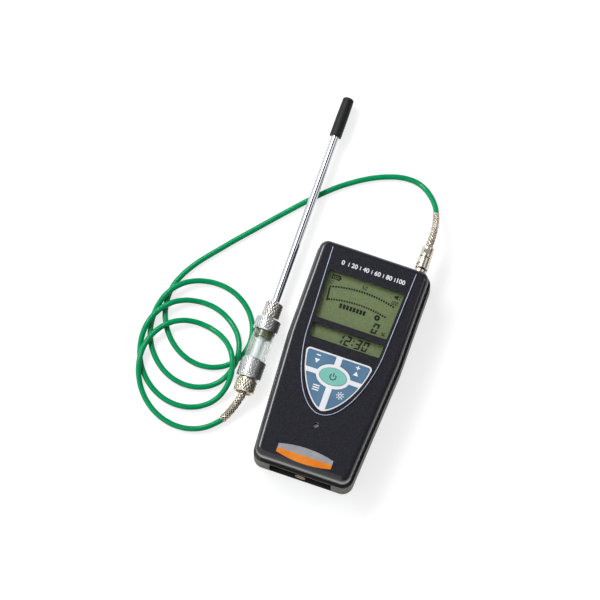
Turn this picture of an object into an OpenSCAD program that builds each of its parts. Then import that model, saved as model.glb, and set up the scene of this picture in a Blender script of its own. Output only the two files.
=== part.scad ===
// Hand-held gas detector with a sampling hose, a drain filter and a probe.
// The meter lies on its back: +X is its right side, +Y its hose end and +Z its face.
// The origin is the centre of the back face. All sizes are in millimetres.

/* [Case] */
// Width of the rear case at its hose end
case_w = 84.6; // [83:0.2:92]
// Length of the rear case
case_l = 167.4; // [164:0.2:176]
// How far each side is drawn in at the bottom end
case_taper = 5.2; // [3:0.1:5.6]
// Place where the sides begin to draw in
taper_y = 11; // [6:1:18]
// Height from the back face to the raised panel
case_h = 36; // [36:0.5:42]
// Height of the rear case's rim
rim_z = 19.4; // [19.4:0.1:20.4]
// Wall of both case halves
wall = 2.4; // [2:0.1:2.6]
// How far the front case stands in from the rear case
front_inset = 1.5; // [1:0.1:2]
// Plan corner radius of the rear case
corner_r = 8; // [6:0.5:10]
// Rounding of the front case's upper edge
front_edge_r = 4; // [2:0.5:5]
// Rounding of the rear case's lower edge
rear_edge_r = 2; // [1:0.5:3]
// Thickness of the gasket between the halves
gasket_t = 0.6; // [0.4:0.1:1]
// Width of the gasket
gasket_w = 2; // [1.6:0.1:2.2]
// Radius of the screw bosses in the front case
boss_r = 3; // [2.6:0.1:3.4]
// Place of the upper pair of case screws
boss_top_y = 38; // [34:1:42]
// Distance of the lower pair of case screws from the bottom end
boss_up = 14; // [12:1:22]
// Radius of the case screws' shanks
screw_r = 1.5; // [1.2:0.1:1.6]
// Length of the case screws' shanks
screw_l = 25; // [22:1:27]
// Radius of the case screws' heads
screw_head_r = 2.8; // [2.5:0.1:2.9]
// Height of the case screws' heads
screw_head_h = 1.8; // [1.4:0.1:2]

/* [Panel and windows] */
// Height of the raised panel over the face
panel_raise = 0.8; // [0.4:0.1:1.2]
// Distance from the front case's side to the panel at its upper end
panel_inset = 9.5; // [8.5:0.1:9.7]
// How much narrower the panel is where its sides begin to curve in
panel_taper = 2.6; // [1.6:0.1:3]
// Place where the panel's sides begin to curve in
panel_side_y = 14.6; // [13:0.2:17]
// Place of the panel's lower tip
panel_tip_y = -41.4; // [-44:0.2:-41]
// Margin between the windows and the panel's sides
window_margin = 2.3; // [1.6:0.1:3]
// Lower edge of the main window
main_low_y = 25.6; // [25:0.2:28.6]
// Upper edge of the main window
main_high_y = 61.6; // [57:0.2:62.6]
// Lower edge of the small window
small_low_y = 11; // [10.6:0.2:12.6]
// Upper edge of the small window
small_high_y = 21.2; // [18.6:0.2:21.4]
// Corner radius of the windows
window_corner = 1.2; // [0.8:0.1:2]
// Thickness of the clear window sheet
sheet_t = 1.4; // [1:0.1:1.8]
// Thickness of the display glasses
glass_t = 2.6; // [2:0.1:3]
// Thickness of the frame that carries the displays
frame_t = 3; // [2.5:0.1:3.5]
// Thickness of the main board
board_t = 1.6; // [1:0.2:2]

/* [Keys] */
// Distance from the panel's side to the key plate's upper corner
plate_inset = 4.2; // [3.6:0.1:5]
// Upper edge of the key plate
plate_top_y = 3.1; // [2:0.1:4.6]
// Lower tip of the key plate
plate_tip_y = -38.8; // [-39.4:0.2:-36.4]
// Radius of the key plate's upper corners
plate_corner = 3; // [2:0.5:4]
// White border around the keys
plate_border = 1.4; // [1:0.1:2]
// Width of the white strip between the left and right keys
strip_w = 5; // [4:0.2:6]
// Height of the white strip between the upper and lower keys
strip_h = 4; // [3:0.2:5]
// Half length of the power key
power_half_x = 10; // [9:0.25:10.5]
// Half height of the power key
power_half_y = 6.2; // [5.5:0.1:6.6]
// Middle of the power key
power_y = -12.6; // [-13.4:0.2:-11.8]
// White ring around the power key
ring_w = 2.8; // [2.2:0.1:3.2]
// Depth of the pocket that holds the key plate
pocket_d = 2; // [1.8:0.1:2.2]
// How far the key plate stands over the panel
plate_proud = 0.3; // [0.1:0.1:0.6]
// How far the keys stand over the key plate
key_proud = 0.3; // [0.1:0.1:0.6]
// Travel of a key
key_travel = 0.7; // [0.5:0.1:0.8]
// Gap around each key
key_gap = 0.25; // [0.2:0.05:0.3]
// Radius of the stem under each key
stem_r = 2.2; // [1.8:0.1:2.4]

/* [Label and sounder] */
// Half width of the label
label_half = 20.4; // [18:0.2:22]
// Distance of the label's middle line from the bottom end
label_up = 10.1; // [9.8:0.1:12.8]
// Half height of the label at its middle
label_mid = 5.8; // [5:0.1:6]
// Half height of the label at its ends
label_end = 3.1; // [2:0.1:3.6]
// Thickness of the label
label_t = 0.6; // [0.4:0.1:0.8]
// Radius of the sounder's hole
sound_hole_r = 2; // [1.5:0.1:2.5]
// Place of the sounder
sound_y = -49.4; // [-50.4:0.2:-47.4]
// Radius of the sounder
sounder_r = 7; // [6:0.5:8]

/* [Battery] */
// Diameter of a cell
cell_d = 14.5; // [13.5:0.1:14.5]
// Length of a cell with its nub
cell_l = 50.5; // [48:0.5:50.5]
// Distance from the middle to each row of cells
lane_x = 15.2; // [14.8:0.2:16]
// Wall of the battery tray
tray_wall = 1.2; // [1:0.1:1.4]
// Thickness of the battery cover
cover_t = 2.6; // [2.2:0.1:3]
// Depth of the battery cover behind the case's end
cover_depth = 3; // [2.8:0.1:3.4]
// Radius of the cover screw's head
knob_r = 4; // [3.5:0.1:4.5]
// Radius of the cover screw's shank
knob_shank_r = 1.5; // [1.2:0.1:1.8]
// Radius of the brass insert
insert_r = 3; // [2.6:0.1:3.4]
// Length of the brass insert
insert_l = 8; // [6:0.5:10]

/* [Pump and sensor] */
// Radius of the pump's motor
motor_r = 7; // [6:0.2:7.4]
// Gap between the battery tray and the pump's motor
motor_gap = 2; // [1.8:0.1:6]
// Radius of the pump's shaft
shaft_r = 1; // [0.8:0.1:1.2]
// Radius of the pump's eccentric
cam_r = 4; // [3.5:0.1:4.4]
// Throw of the pump's eccentric
cam_throw = 1.2; // [0.6:0.1:1.4]
// Radius of the gas sensor
sensor_r = 7; // [6:0.2:7.6]
// Height of the gas sensor
sensor_h = 12; // [10:0.5:12.5]

/* [Coupling] */
// Distance of the coupling from the case's right side
coupling_inset = 10.3; // [9.8:0.1:11]
// Outer radius of the coupling
coupling_r = 4.7; // [4.5:0.1:5]
// Radius of the socket's nose
nose_r = 3.2; // [3:0.1:3.4]
// Length of the socket's base
socket_l = 2.4; // [2.2:0.1:3]
// Length of the turning collar
collar_l = 8.4; // [8:0.2:9]
// Length of the hose plug behind the collar
plug_l = 7.7; // [7:0.1:8]
// Radius of the bayonet pins
pin_r = 0.7; // [0.6:0.05:0.9]
// Turn of the collar from locked to open
bayonet_turn = 50; // [40:5:60]
// Radius of the gas passage
passage_r = 1.2; // [0.8:0.1:1.3]

/* [Hose] */
// Diameter of the hose
hose_d = 4; // [3.6:0.1:4.2]
// Diameter of the braided guards at the hose's ends
guard_d = 5.8; // [5.4:0.1:6]
// Diameter of the meter's guard where the hose leaves it
guard_tip_d = 4.6; // [4.4:0.1:5]
// Radius of the loops
loop_r = 34.5; // [33:0.5:36]
// Oval of the loops
loop_oval = 1.2; // [0:0.1:1.6]
// Rise of a loop where it crosses the loops before it
loop_lift = 4.8; // [4.7:0.1:5.5]

/* [Probe] */
// Distance of the probe from the middle
probe_x = -59; // [-60:0.5:-58.5]
// Rear end of the hose nut
probe_y = -37.8; // [-38.4:0.2:-37.4]
// Radius of the filter's knurled caps
cap_r = 9; // [8.7:0.1:9.2]
// Length of the rear cap
rear_cap_l = 14.5; // [13:0.5:15]
// Length of the front cap
front_cap_l = 9.8; // [9.6:0.1:12]
// Clear stretch of the barrel between the caps
barrel_show = 22; // [18:0.5:24]
// Outer radius of the barrel
barrel_r = 7.7; // [7.2:0.1:7.8]
// Wall of the barrel
barrel_wall = 1.5; // [1:0.1:1.8]
// How far the barrel goes into each cap
barrel_grip = 8; // [7:0.2:8.2]
// Radius of the hose nut
hose_nut_r = 7.4; // [6.8:0.1:8]
// Radius of the tube nut
tube_nut_r = 6.4; // [5.8:0.1:6.6]
// Length of the hose nut
hose_nut_l = 10.2; // [9.6:0.2:11]
// Length of the tube nut
tube_nut_l = 12.2; // [11:0.2:13]
// Radius of the spigots that carry the nuts
spigot_r = 4.4; // [4:0.1:4.8]
// Length of the spigots that carry the nuts
spigot_l = 6.7; // [6.2:0.1:7]
// Outer radius of the probe's tube
tube_r = 2.9; // [2.5:0.1:3]
// Wall of the probe's tube
tube_wall = 0.6; // [0.4:0.1:0.8]
// Shown length of the probe's tube
tube_show = 130.9; // [100:0.1:140]
// Radius of the rubber tip
tip_r = 4.3; // [3.8:0.1:4.6]
// Length of the rubber tip
tip_l = 30; // [24:0.5:32]
// Depth of the tube in the rubber tip
tip_grip = 12; // [8:0.5:16]
// Radius of the filter's inner tube
inner_r = 2.4; // [2:0.1:2.8]
// Chamfer on the knurled pieces
knurl_chamfer = 0.8; // [0.4:0.1:1]

/* [Hidden] */

$fn = 48;
// Sides of a rounded corner inside a hull
hull_fn = 32;
// Overlap of a cutting shape past the face that it cuts
cut = 1;
// Gap between pieces that move past each other
free_gap = 0.3;
// Radial clearance of a turning or sliding fit
fit_gap = 0.05;
// Clearance around pieces that are dropped into a pocket
drop_gap = 0.15;

// Heights of the case
face_z = case_h - panel_raise;
front_z = rim_z + gasket_t;
ceiling_z = face_z - wall;
front_w = case_w - 2 * front_inset;
front_l = case_l - 2 * front_inset;
end_y = case_l / 2;
inner_end_y = end_y - wall;
boss_low_y = -end_y + boss_up;
label_y = -end_y + label_up;
// Half width of the rear case at a place along it
function case_half(y) = case_w / 2
    - case_taper * max(0, taper_y - y) / (taper_y + end_y - corner_r);
// Screw bosses sink this far into the side wall
boss_sink = 0.6;
function boss_x(y) = case_half(y) - front_inset - wall - boss_r + boss_sink;
pillar_r = boss_r + 0.4;
pillar_sink = 0.5;
screw_play = 0.2;
screw_head_z = 1;
screw_seat_z = screw_head_z + screw_head_h;
pilot_end_z = screw_seat_z + screw_l + cut;
counterbore_r = screw_head_r + free_gap;

// Panel, windows and what hangs under them
panel_top_half = front_w / 2 - panel_inset;
panel_side_half = panel_top_half - panel_taper;
plate_half = panel_side_half - plate_inset;
panel_end_gap = 0.2;
panel_top_y = front_l / 2 - front_edge_r - panel_end_gap;
sheet_side_lap = 0.6;
sheet_end_lap = 2.6;
sheet_half = panel_top_half + sheet_side_lap;
sheet_low_y = small_low_y - sheet_end_lap;
sheet_high_y = main_high_y + sheet_end_lap;
sheet_z = ceiling_z - sheet_t;
glass_z = sheet_z - glass_t;
glass_half = panel_top_half;
glass_lap = 1.2;
frame_z = glass_z - frame_t;
board_z = frame_z - board_t;
board_margin = 3;
board_low_y = sound_y - sounder_r - board_margin;
board_high_y = sheet_high_y + board_margin;
sounder_h = 5;

// Keys
pocket_z = case_h - pocket_d;
plate_z = case_h + plate_proud;
key_top_z = plate_z + key_proud;
key_floor_gap = 0.2;
key_low_z = pocket_z + key_travel + key_floor_gap;
mat_t = 1;
dome_h = 1.6;
dome_r = 3.5;
dome_z = frame_z + mat_t + dome_h;
stem_low_z = dome_z + key_travel + free_gap;
stem_play = 0.4;
stem_hole_r = stem_r + stem_play;
upper_stem = [13, -3.4];
lower_stem = [9.5, -23.4];
// Powers of the curve that draws in the panel's and the key plate's sides
panel_bulge = 1;
plate_bulge = 1.25;
shield_drop = 1.25;

// Battery
cell_gap = 0.25;
lane_w = cell_d + 2 * cell_gap;
lane_edge = lane_x + lane_w / 2;
tray_floor = 0.6;
lane_z0 = wall + tray_floor;
lane_z1 = lane_z0 + lane_w;
lane_mid_z = (lane_z0 + lane_z1) / 2;
tray_half = lane_edge + tray_wall;
tray_top_z = lane_z1 + tray_wall;
tray_end_gap = 0.2;
tray_low_y = -inner_end_y + tray_end_gap;
cover_face_y = -end_y + cover_depth;
cover_back_y = cover_face_y + cover_t;
contact_t = 0.5;
cell_end_gap = 0.9;
cell_start_y = cover_back_y + contact_t + cell_end_gap;
cell_spacing = 0.1;
cell_step = cell_l + cell_spacing;
cell_end_y = cell_start_y + 2 * cell_step;
tray_end_y = cell_end_y + free_gap + contact_t + tray_wall;
web_y = cell_start_y;
nub_r = 2.75;
nub_l = 1;
web_wall = 1.6;
knob_l = 2.5;
knob_play = 0.1;
knob_short = 2;
knob_tip_y = web_y + insert_l - knob_short;

// Pump: the head keeps its place at the hose end, and the motor fills the way to the battery
cradle_wall = 1.5;
cradle_half = motor_r + cradle_wall;
cradle_l = 3;
pump_side_gap = 4.1;
pump_x = -(boss_x(boss_top_y) - pillar_r - pump_side_gap - cradle_half);
pump_z = 11;
base_t = 1.6;
nipple_r = 1.9;
nipple_l = 4;
port_room = 7.9;
pump_port_y = inner_end_y - port_room;
head_w = 13.4;
head_y = pump_port_y - nipple_l - head_w / 2;
head_z = wall + base_t;
head_h = 14;
pump_in_z = head_z + 4;
pump_out_z = head_z + 10;
cam_l = 4;
cam_y = head_y - cam_l / 2;
motor_y = tray_end_y + motor_gap;
motor_end_y = head_y - head_w / 2 - free_gap;
diaphragm_t = 1;
diaphragm_r = 5;
head_x = pump_x + cam_r + cam_throw + 2 * free_gap + diaphragm_t;

// Sensor: its block stands between the battery, the pump's head and the coupling
coupling_x = case_w / 2 - coupling_inset;
block_wall = 3;
block_half = sensor_r + block_wall;
block_h = 14.6;
block_gap = 1.2;
port_reach = 5;
sensor_x = coupling_x - port_reach - nipple_l - block_half;
sensor_gap = 3;
sensor_y = tray_end_y + sensor_gap + block_half;
sensor_floor = 5.6;
sensor_z = wall + sensor_floor;
sensor_port_z = sensor_z + 2;
head_l = sensor_x - block_half - block_gap - head_x;
pump_port_x = head_x + head_l / 2;
exhaust_inset = 14.3;
exhaust_x = -case_w / 2 + exhaust_inset;
exhaust_z = 10;
exhaust_tail = 3.6;
exhaust_y = inner_end_y - exhaust_tail;

// Places where the inner tubes meet the sensor block
inner_tube_d = 4;
tube_gap = 1.6;
block_port_x = sensor_x + block_half + nipple_l;
block_port_y = sensor_y + block_half + nipple_l;

// Coupling
coupling_z = rim_z + gasket_t / 2;
neck_r = 3.5;
seal_t = 0.8;
socket_face_y = end_y + socket_l;
collar_y = socket_face_y + seal_t + free_gap;
nose_reach = 4.6;
nose_end_y = collar_y + nose_reach;
pin_reach = 2.6;
pin_y = collar_y + pin_reach;
pin_short = 0.1;
collar_end_y = collar_y + collar_l;
plug_y = collar_end_y + free_gap;
plug_end_y = plug_y + plug_l;
collar_play = 0.08;
collar_bore_r = nose_r + collar_play;
plug_r = coupling_r - 0.1;
inlet_tail = 9.6;
inlet_tail_y = inner_end_y - inlet_tail;

// Points of the inner tubes, as shares of the ways between their ends
sensor_drop = inlet_tail_y - sensor_y;
tube_to_sensor = [[coupling_x, inlet_tail_y, coupling_z],
    [coupling_x, inlet_tail_y - 0.14 * sensor_drop, coupling_z - 0.3],
    [coupling_x, inlet_tail_y - 0.36 * sensor_drop, coupling_z - 2.6],
    [coupling_x - 0.4, sensor_y + 0.34 * sensor_drop, sensor_port_z + 3.4],
    [coupling_x - 1.4, sensor_y + 0.15 * sensor_drop, sensor_port_z + 0.8],
    [coupling_x - 3.2, sensor_y + 0.02 * sensor_drop, sensor_port_z],
    [block_port_x, sensor_y, sensor_port_z]];
pump_rise = inner_end_y - inner_tube_d / 2 - tube_gap - block_port_y;
pump_way = sensor_x - pump_port_x;
tube_to_pump = [[sensor_x, block_port_y, sensor_port_z],
    [sensor_x, block_port_y + 0.3 * pump_rise, sensor_port_z],
    [sensor_x - 0.11 * pump_way, block_port_y + 0.62 * pump_rise, sensor_port_z],
    [sensor_x - 0.33 * pump_way, block_port_y + 0.88 * pump_rise, sensor_port_z],
    [sensor_x - 0.6 * pump_way, pump_port_y + 3.9, (sensor_port_z + pump_in_z) / 2],
    [pump_port_x + 0.16 * pump_way, pump_port_y + 4, pump_in_z],
    [pump_port_x + 0.02 * pump_way, pump_port_y + 2.6, pump_in_z],
    [pump_port_x, pump_port_y, pump_in_z]];
out_way = pump_port_x - exhaust_x;
tube_to_exhaust = [[pump_port_x, pump_port_y, pump_out_z],
    [pump_port_x - 0.03 * out_way, pump_port_y + 2.6, pump_out_z],
    [pump_port_x - 0.18 * out_way, pump_port_y + 4, pump_out_z],
    [pump_port_x - 0.41 * out_way, pump_port_y + 2.4, pump_out_z - 1],
    [pump_port_x - 0.64 * out_way, pump_port_y - 0.6, exhaust_z + 1.2],
    [exhaust_x + 0.2 * out_way, exhaust_y - 5, exhaust_z + 0.4],
    [exhaust_x + 0.06 * out_way, exhaust_y - 4.4, exhaust_z],
    [exhaust_x + 0.01 * out_way, exhaust_y - 2.4, exhaust_z],
    [exhaust_x, exhaust_y, exhaust_z]];

// Probe, along +Y
probe_z = cap_r;
nut_gap = 0.4;
rear_cap_y = probe_y + hose_nut_l + nut_gap;
rear_cap_end_y = rear_cap_y + rear_cap_l;
front_cap_y = rear_cap_end_y + barrel_show;
front_cap_end_y = front_cap_y + front_cap_l;
tube_nut_y = front_cap_end_y + nut_gap;
tube_nut_end_y = tube_nut_y + tube_nut_l;
tube_end_y = tube_nut_end_y + tube_show;
barrel_y = rear_cap_end_y - barrel_grip;
barrel_end_y = front_cap_y + barrel_grip - free_gap;
front_socket_y = front_cap_y + barrel_grip;
spigot_y = rear_cap_y - spigot_l;
spigot_end_y = front_cap_end_y + spigot_l;
seal_ring_l = 5;
felt_l = 5;
filter_tube_reach = 3;
filter_tube_end_y = front_cap_y + filter_tube_reach;

// Hose: the guards' and the free run's own points, those near the meter counted from its plug
hose_start = [coupling_x, plug_end_y, coupling_z];
guard_meter_steps = [[0, 0, 0], [0, guard_d, 0], [-0.2, 10, -0.5], [-0.7, 15, -1.9], [-1.4, 19, -3.4],
    [-2.3, 23, -5.1], [-3.6, 27, -7.1]];
guard_meter_route = [for (p = guard_meter_steps) hose_start + p];
run_route = [hose_start + [-5.2, 31, -9.1], [23.6, 139.6, 8], [19, 144.6, 5.6], [13.6, 148.6, 3.6],
    [7.4, 151.2, 2.3], [1, 151.8, 2], [-6, 151, 2], [-14, 148.6, 2], [-22, 145.2, 2], [-30, 140.8, 2],
    [-38, 135.4, 2], [-46, 129.2, 2], [-54, 121.8, 2], [-62, 113.6, 2], [-70, 104.8, 2], [-78, 95.8, 2],
    [-86, 86.6, 2], [-94, 77.4, 2], [-102.2, 68, 2], [-109.6, 59, 2], [-116, 51.3, 2],
    [-122.1, 43.4, 2]];
guard_probe_route = [[-64.9, -56, 3.7], [-62.8, -51.4, 5], [-61, -46.8, 6.8], [-59.6, -42.4, 8.4]];

// Loops: the centre moves along a cubic, and the hose rises in humps over the strands before it
loop_start = 150;
loop_end = 1404;
loop_mid = [-105.9, -13.5];
loop_step = [-2.6, -16.2];
loop_bend = [2.3, 0.6];
loop_sway = [0.6, 0];
loop_rings = 24;
loop_sides = 6;
run_sides = 10;
guard_sides = 12;
// Each hump: where it begins, is full, begins to fall and ends, in degrees, and its layers
loop_humps = [[450, 500, 506, 540, 1], [674, 712, 730, 780, 1], [811, 854, 878, 918, 1],
    [1040, 1097, 1103, 1162, 2], [1162, 1208, 1263, 1305, 1], [1350, 1404, 1500, 1560, 0.2]];

function smooth(t) = let (c = min(max(t, 0), 1)) c * c * (3 - 2 * c);
function unit(v) = v / norm(v);
function turns(a) = (a - 180) / 360 - 1.5;
function loop_centre(a) = let (s = turns(a)) loop_mid + loop_step * s + loop_bend * s * s
    + loop_sway * s * s * s;
function hump(a, h) = h[4] * smooth((a - h[0]) / (h[1] - h[0])) * (1 - smooth((a - h[2]) / (h[3] - h[2])));
function loop_rise(a) = loop_lift * max([for (h = loop_humps) hump(a, h)]);
function loop_point(a) = let (c = loop_centre(a), r = loop_r - loop_oval * sin(2 * a))
    [c[0] + r * cos(a), c[1] + r * sin(a), hose_d / 2 + loop_rise(a)];
function loop_way(a) = unit(loop_point(a + 1) - loop_point(a - 1));
loop_lead_in = loop_point(loop_start) - loop_way(loop_start) * hose_d;
loop_lead_out = loop_point(loop_end) + loop_way(loop_end) * hose_d;
function loop_route(rings) = let (n = ceil((loop_end - loop_start) * rings / 360))
    concat([loop_lead_in], [for (i = [0 : n]) loop_point(loop_start + (loop_end - loop_start) * i / n)],
    [loop_lead_out]);

// Least gap of the loops to themselves, on points four times as close as the rings
gap_rings = loop_rings * 4;
function loop_gap(p) = min([for (i = [0 : len(p) - 1])
    for (j = [i + gap_rings / 2 : len(p) - 1]) norm(p[i] - p[j])]) - hose_d;

// Shapes shared by several pieces

function ring_way(p, i) = unit(p[min(i + 1, len(p) - 1)] - p[max(i - 1, 0)]);
function ring(p, i, r, sides) =
    let (w = ring_way(p, i), s = unit(cross(w, [0, 0, 1])), u = cross(s, w))
    [for (k = [0 : sides - 1]) p[i] + r * (s * cos(360 * k / sides) + u * sin(360 * k / sides))];

// A tube of triangles along a list of points, from one diameter to another
module swept_tube(p, start_d, end_d, sides) {
    last = len(p) - 1;
    points = [for (i = [0 : last])
        let (d = start_d + (end_d - start_d) * i / last) each ring(p, i, d / 2, sides)];
    walls = [for (i = [0 : last - 1]) for (k = [0 : sides - 1])
        let (a = i * sides + k, b = i * sides + (k + 1) % sides)
        each [[a, b, b + sides], [a, b + sides, a + sides]]];
    caps = [for (k = [1 : sides - 2])
        each [[0, k + 1, k], [last * sides, last * sides + k, last * sides + k + 1]]];
    polyhedron(points, concat(walls, caps));
}

// A round piece along +Y: pairs of radius and place
module turned(x, z, outline) {
    translate([x, 0, z])
        rotate([-90, 0, 0])
            rotate_extrude()
                polygon(outline);
}

module rod_y(x, z, r, y0, y1) {
    translate([x, y0, z])
        rotate([-90, 0, 0])
            cylinder(r = r, h = y1 - y0);
}

module rod_x(y, z, r, x0, x1) {
    translate([x0, y, z])
        rotate([0, 90, 0])
            cylinder(r = r, h = x1 - x0);
}

module box(x0, x1, y0, y1, z0, z1) {
    translate([x0, y0, z0])
        cube([x1 - x0, y1 - y0, z1 - z0]);
}

// A quarter round in steps, from the angle a to a + 90
quarter_step = 90 / 8;
function quarter(cx, cy, r, a) = [for (b = [a : quarter_step : a + 90]) [cx + r * cos(b), cy + r * sin(b)]];
function mirrored(p) = [for (i = [len(p) - 1 : -1 : 0]) [-p[i][0], p[i][1]]];

// Middles of the case's round corners on its right side, with one more where it begins to draw in
case_middles = [[case_w / 2 - corner_r - case_taper, -end_y + corner_r], [case_w / 2 - corner_r, taper_y],
    [case_w / 2 - corner_r, end_y - corner_r]];

// The case's plan, moved inward on all sides by inset
function case_side(inset) = let (r = corner_r - inset, low = case_middles[0], bend = case_middles[1],
    high = case_middles[2])
    concat(quarter(low[0], low[1], r, -90), [[bend[0] + r, bend[1]]], quarter(high[0], high[1], r, 0));
function case_outline(inset) = concat(case_side(inset), mirrored(case_side(inset)));

// A block with the case's plan, and round lower and upper edges
module case_block(inset, z0, z1, low_r, high_r) {
    r = corner_r - inset;
    low = low_r > 0 ? quarter(r - low_r, z0 + low_r, low_r, -90) : [[r, z0]];
    high = high_r > 0 ? quarter(r - high_r, z1 - high_r, high_r, 0) : [[r, z1]];
    hull()
        for (side = [-1, 1], middle = case_middles)
            translate([side * middle[0], middle[1], 0])
                rotate_extrude($fn = hull_fn)
                    polygon(concat([[0, z0]], low, high, [[0, z1]]));
}

// Half width of the panel above the place where it begins to curve in
function panel_half(y) = panel_side_half
    + (panel_top_half - panel_side_half) * (y - panel_side_y) / (panel_top_y - panel_side_y);

// Right side of a shield from near its tip to its upper corner, which is round where corner is over 0
function shield_side(half, top_y, tip_y, bulge, corner) = concat(
    [for (a = [85 : -5 : 0]) let (y = top_y + (tip_y - top_y) * pow(sin(a), shield_drop))
        if (y < top_y - corner) [half * pow(cos(a), bulge), y]],
    corner > 0 ? quarter(half - corner, top_y - corner, corner, 0) : [[half, top_y]]);
function shield(half, top_y, tip_y, bulge, corner) =
    let (side = shield_side(half, top_y, tip_y, bulge, corner))
    concat([[0, tip_y]], side, mirrored(side));

module prism(outline, z0, z1) {
    translate([0, 0, z0])
        linear_extrude(z1 - z0)
            polygon(outline);
}

module ellipse_prism(half_x, half_y, y, z0, z1) {
    step = 360 / $fn;
    prism([for (a = [0 : step : 360 - step]) [half_x * cos(a), y + half_y * sin(a)]], z0, z1);
}

// A window with round corners whose sides follow the panel's taper
module window(low_y, high_y, z0, z1) {
    r = window_corner;
    hull()
        for (x = [-1, 1], y = [low_y + r, high_y - r])
            translate([x * (panel_half(y) - window_margin - r), y, z0])
                cylinder(r = r, h = z1 - z0, $fn = hull_fn);
}

// The key plate's outline and the power key's outline, made larger on all sides by grow
module plate_prism(grow, z0, z1) {
    corner = max(0, plate_corner + grow);
    prism(shield(plate_half + grow, plate_top_y + grow, plate_tip_y - grow, plate_bulge, corner), z0, z1);
}

module power_prism(grow, z0, z1) {
    ellipse_prism(power_half_x + grow, power_half_y + grow, power_y, z0, z1);
}

// The space of one outer key, made larger on all sides by grow
module key_space(side, row, grow, z0, z1) {
    inset = plate_border - grow;
    reach = plate_half + cut;
    x_edge = strip_w / 2 - grow;
    y_edge = strip_h / 2 - grow;
    difference() {
        intersection() {
            plate_prism(-inset, z0, z1);
            box(side > 0 ? x_edge : -reach, side > 0 ? reach : -x_edge,
                row > 0 ? power_y + y_edge : plate_tip_y - cut,
                row > 0 ? plate_top_y + cut : power_y - y_edge, z0 - cut, z1 + cut);
        }
        power_prism(ring_w - grow, z0 - cut, z1 + cut);
    }
}

function stem_place(side, row) = let (stem = row > 0 ? upper_stem : lower_stem) [side * stem[0], stem[1]];
stem_places = [stem_place(-1, 1), stem_place(1, 1), stem_place(-1, -1), stem_place(1, -1), [0, power_y]];

module key_stem(place) {
    translate([place[0], place[1], stem_low_z])
        cylinder(r = stem_r, h = key_low_z - stem_low_z);
}

module outer_key(side, row) {
    color([0.30, 0.46, 0.58]) {
        key_space(side, row, 0, key_low_z, key_top_z);
        key_stem(stem_place(side, row));
    }
}

// Upper half of the label, or its lower half with sign -1
function label_outline(sign) = concat([[-label_half, label_y], [label_half, label_y]],
    [for (k = [0 : 12]) let (t = 1 - k / 6)
        [label_half * t, label_y + sign * (label_end + (label_mid - label_end) * (1 - t * t))]]);

// Meter case

module front_shell() {
    difference() {
        union() {
            case_block(front_inset, front_z, face_z, 0, front_edge_r);
            raised_panel();
        }
        prism(case_outline(front_inset + wall), front_z - cut, ceiling_z);
    }
}

module raised_panel() {
    prism(shield(panel_side_half, panel_side_y, panel_tip_y, panel_bulge, 0), face_z - cut, case_h);
    prism([[-panel_side_half, panel_side_y], [panel_side_half, panel_side_y],
        [panel_top_half, panel_top_y], [-panel_top_half, panel_top_y]], face_z - cut, case_h);
}

module screw_places() {
    for (side = [-1, 1], y = [boss_low_y, boss_top_y])
        translate([side * boss_x(y), y, 0])
            children();
}

module front_case() {
    color([0.19, 0.19, 0.22])
        difference() {
            union() {
                front_shell();
                screw_places()
                    translate([0, 0, front_z])
                        cylinder(r = boss_r, h = ceiling_z - front_z + cut);
            }
            screw_places()
                translate([0, 0, front_z - cut])
                    cylinder(r = screw_r + fit_gap, h = pilot_end_z - front_z + cut);
            window(main_low_y, main_high_y, ceiling_z - cut, case_h + cut);
            window(small_low_y, small_high_y, ceiling_z - cut, case_h + cut);
            plate_prism(drop_gap, pocket_z, case_h + cut);
            for (p = stem_places)
                translate([p[0], p[1], ceiling_z - cut])
                    cylinder(r = stem_hole_r, h = pocket_z - ceiling_z + 2 * cut);
            translate([0, sound_y, ceiling_z - cut])
                cylinder(r = sound_hole_r, h = wall + 2 * cut);
            for (sign = [-1, 1])
                prism(label_outline(sign), face_z - label_t / 2, face_z + cut);
            rod_y(coupling_x, coupling_z, neck_r + drop_gap, front_l / 2 - wall - cut, front_l / 2 + cut);
        }
}

module rear_shell() {
    difference() {
        case_block(0, 0, rim_z, rear_edge_r, 0);
        prism(case_outline(wall), wall, rim_z + cut);
    }
}

module rear_case() {
    color([0.32, 0.33, 0.28])
        difference() {
            union() {
                rear_shell();
                screw_places()
                    translate([0, 0, wall - pillar_sink])
                        cylinder(r = pillar_r, h = rim_z - wall + pillar_sink);
            }
            screw_places() {
                translate([0, 0, -cut])
                    cylinder(r = counterbore_r, h = screw_seat_z + cut);
                cylinder(r = screw_r + screw_play, h = rim_z + cut);
            }
            box(-lane_edge - free_gap, lane_edge + free_gap, -end_y - cut, -inner_end_y + cut,
                lane_z0 - free_gap, lane_z1 + free_gap);
            rod_y(coupling_x, coupling_z, neck_r + drop_gap, inner_end_y - cut, end_y + cut);
            rod_y(exhaust_x, exhaust_z, nipple_r + fit_gap, inner_end_y - cut, end_y + cut);
        }
}

module case_gasket() {
    lap = 0.2;
    inner = lap + gasket_w;
    color([0.06, 0.06, 0.06])
        difference() {
            prism(case_outline(front_inset + lap), rim_z, front_z);
            prism(case_outline(front_inset + inner), rim_z - cut, front_z + cut);
            rod_y(coupling_x, coupling_z, neck_r + drop_gap, inner_end_y - 2 * wall, end_y + cut);
        }
}

module case_screws() {
    slot_w = 0.8;
    color([0.6, 0.6, 0.62])
        screw_places()
            translate([0, 0, screw_head_z]) {
                difference() {
                    cylinder(r = screw_head_r, h = screw_head_h);
                    box(-slot_w / 2, slot_w / 2, -screw_head_r, screw_head_r, -cut, screw_head_h / 2);
                    box(-screw_head_r, screw_head_r, -slot_w / 2, slot_w / 2, -cut, screw_head_h / 2);
                }
                translate([0, 0, screw_head_h])
                    cylinder(r = screw_r, h = screw_l);
            }
}

// Displays and keys

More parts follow.
